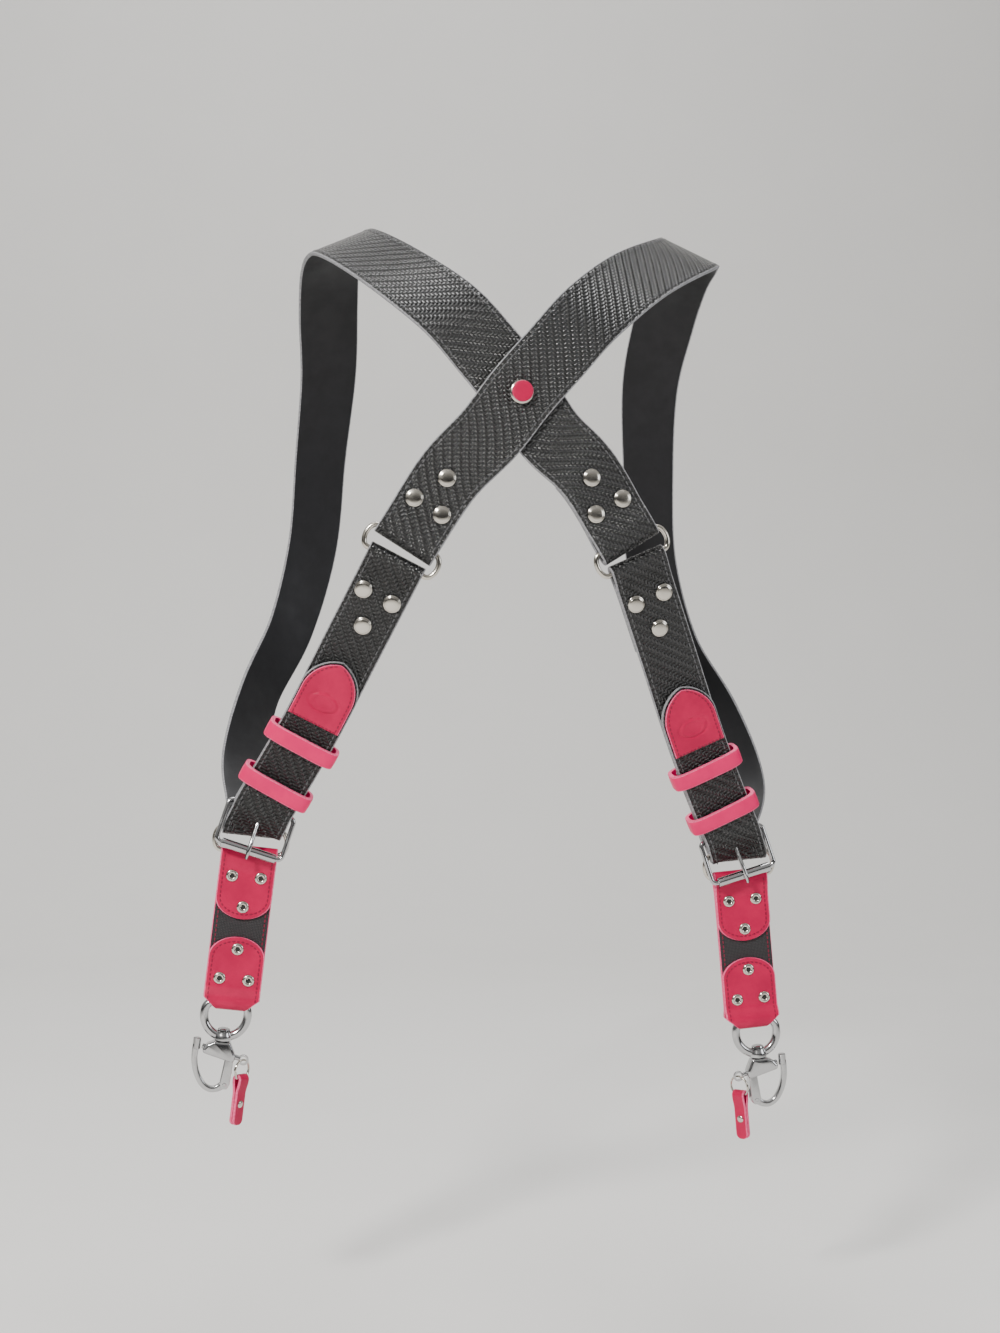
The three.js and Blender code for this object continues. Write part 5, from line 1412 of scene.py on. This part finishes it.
    pin_at = lambda x: spot(out * x * MM, 0, (PIN_LEVEL + x * PIN_TILT) * MM)
    stand, rows = rod(pin_at(PIN_HEAD_AT + 1.9), pin_at(PIN_TIP_AT), PIN_RADIUS)
    head_at = pin_at(PIN_HEAD_AT)
    pin = [lathe(f"pin_{name}_rod", [stand], rows, [CHROME], 28),
           lathe(f"pin_{name}_head", [(head_at, at["n"])], np.array(PIN_HEAD) * MM, [CHROME], 32)]
    place(joined(f"pin_{name}_rod", pin), f"pin_{name}", "chrome", f"shackle_pin_{name}")

    axes = np.stack([at["u"] * side, -at["n"], -at["v"]], 1)
    base = np.linalg.lstsq(axes, head_at - origin, rcond=None)[0]
    m = vec(out * math.sin(PULL_TURN), -math.cos(PULL_TURN), 0)
    k = vec(-m[1], m[0], 0)
    up = vec(0, 0, 1)
    a = np.arange(0, 720, 6)[:, None] * math.pi / 180
    lift = (a / (4 * math.pi) - 0.5) * PULL_PITCH
    coil = base - up * PULL_RING + (m * np.cos(a) + up * np.sin(a)) * PULL_RING + k * lift
    ring_axis = local([k], 0, at, side)[0]
    split = tube(f"pull_ring_{name}_wire", here(coil), PULL_WIRE, ring_axis, [NICKEL], 12, False)
    place(split, f"pin_{name}", "nickel", f"pull_ring_{name}")

    bend = base + up * (1.528 - 12) * MM
    a = np.linspace(0.06, math.pi - 0.06, 14)[:, None]
    down = np.linspace(1 * MM, PULL_DROP, 30)
    spread = (2.25 - 1.25 * ease((down - 1 * MM) / (8 * MM))) * MM
    legs = [bend + k * sign * spread[:, None] - up * down[:, None] for sign in (-1, 1)]
    cap = bend - k * np.cos(a) * PULL_BEND + up * np.sin(a) * PULL_BEND * 0.9 - up * 0.6 * MM
    line = np.vstack([legs[0][::-1], cap, legs[1]])
    facing = np.tile(k, (len(down), 1))
    faces_out = np.vstack([-facing, up * np.sin(a) - k * np.cos(a), facing])
    from_end = np.clip((PULL_DROP + 0.4 * MM - down) / (3.2 * MM), 0, 1)
    end_round = np.sqrt(np.clip(1 - (1 - from_end) ** 2, 0.02, 1)) * PULL_HALF
    halves = np.concatenate([end_round[::-1], np.full(len(cap), PULL_HALF), end_round])
    piece = f"pull_tab_{name}"
    pull = strip(f"{piece}_leather", here(line), local(faces_out, 0, at, side), halves, PULL_THICKNESS,
                 0.5 * MM, [PINK, PINK, PINK_EDGE], 5)
    knot = bend - up * 15 * MM
    sides_of = [(here([knot + k * sign * 1.85 * MM])[0], local([k * sign], 0, at, side)[0])
                for sign in (-1, 1)]
    little = lathe(f"pull_rivet_{name}", sides_of, np.array(PULL_RIVET) * MM, [NICKEL], 28)
    place(joined(f"{piece}_leather", [pull, little]), f"pin_{name}", "pink_leather", piece)


# Floor, light and camera
# A pale floor under the hanging harness, broad soft lamps from the upper left and the right,
# and the camera at the photograph's viewing angle.

FLOOR_Z, FLOOR_HALF, SWEEP_AT, SWEEP_RADIUS, SWEEP_TOP = -0.64, 4.0, 1.3, 0.8, 3.5
bend_turn = np.linspace(0, math.pi / 2, 24)
sweep = np.vstack([
    [[-FLOOR_HALF, FLOOR_Z]],
    np.stack([SWEEP_AT + SWEEP_RADIUS * np.sin(bend_turn),
              FLOOR_Z + SWEEP_RADIUS * (1 - np.cos(bend_turn))], 1),
    [[SWEEP_AT + SWEEP_RADIUS, SWEEP_TOP]],
])
edges = [[(x, y, z) for y, z in sweep.tolist()] for x in (-FLOOR_HALF, FLOOR_HALF)]
count = len(sweep)
floor_mesh = bpy.data.meshes.new("Floor sweep")
panels = [(k, k + 1, count + k + 1, count + k) for k in range(count - 1)]
floor_mesh.from_pydata(edges[0] + edges[1], [], panels)
paper, paper_tree, paper_bsdf = material("Pale paper")
paper_fleck = noise(paper_tree, object_place(paper_tree), 6.0, 3.0)
tint(paper_tree, paper_bsdf, paper_fleck, (0.78, 0.77, 0.75), (0.82, 0.81, 0.79))
paper_bsdf.inputs["Roughness"].default_value = 0.9
floor_mesh.materials.append(paper)
floor_mesh.polygons.foreach_set("use_smooth", np.ones(len(floor_mesh.polygons), bool))
add("Floor sweep", floor_mesh)


def lamp(name, place_at, aim, size, power, colour=(1, 1, 1)):
    """A square soft lamp turned toward a place."""
    light = bpy.data.lights.new(name, "AREA")
    light.shape, light.size, light.energy, light.color = "SQUARE", size, power, colour
    obj = bpy.data.objects.new(name, light)
    obj.location = place_at
    toward = Vector(np.array(aim) - np.array(place_at))
    obj.rotation_euler = toward.to_track_quat("-Z", "Y").to_euler()
    bpy.context.scene.collection.objects.link(obj)


lamp("Key lamp", (-0.95, -1.25, 0.75), (0, -0.05, -0.22), 0.3, 36, (1.0, 0.98, 0.95))
lamp("Side lamp", (1.25, -0.75, 0.1), (0, 0, -0.25), 0.6, 5, (0.93, 0.96, 1.0))
lamp("Top lamp", (0.1, 0.25, 1.2), (0, 0, -0.1), 0.5, 8)
lamp("Floor lamp", (0.0, 0.6, 1.9), (0, 1.6, -0.5), 1.6, 30)

world = bpy.data.worlds.new("Soft room")
world.use_nodes = True
room = world.node_tree
direction = room.nodes.new("ShaderNodeSeparateXYZ")
room.links.new(room.nodes.new("ShaderNodeTexCoord").outputs["Generated"], direction.inputs[0])
height = remap(room, direction.outputs[2], -0.1, 0.75, 0.0, 1.0)
glow = room.nodes["Background"].inputs
room.links.new(blend_colour(room, height, (0.035, 0.036, 0.04), (1.0, 0.99, 0.97)), glow["Color"])
glow["Strength"].default_value = 0.5
bpy.context.scene.world = world

CAMERA_AT = (-0.1606, -1.1892, -0.255)
SENSOR, LENS, CAMERA_ROLL = 36, 52.4, math.radians(1)
view = bpy.data.cameras.new("Photo camera")
view.sensor_fit = "VERTICAL"
view.sensor_height, view.sensor_width, view.lens = SENSOR, SENSOR, LENS
camera = bpy.data.objects.new("Photo camera", view)
look = Vector((0.139173, 0.990268, 0.0))
right = look.cross(Vector((0, 0, 1))).normalized()
upward = right.cross(look)
across_view = right * math.cos(CAMERA_ROLL) + upward * math.sin(CAMERA_ROLL)
up_view = upward * math.cos(CAMERA_ROLL) - right * math.sin(CAMERA_ROLL)
camera.matrix_world = Matrix((
    (across_view.x, up_view.x, -look.x, CAMERA_AT[0]),
    (across_view.y, up_view.y, -look.y, CAMERA_AT[1]),
    (across_view.z, up_view.z, -look.z, CAMERA_AT[2]),
    (0, 0, 0, 1),
))
bpy.context.scene.collection.objects.link(camera)
bpy.context.scene.camera = camera
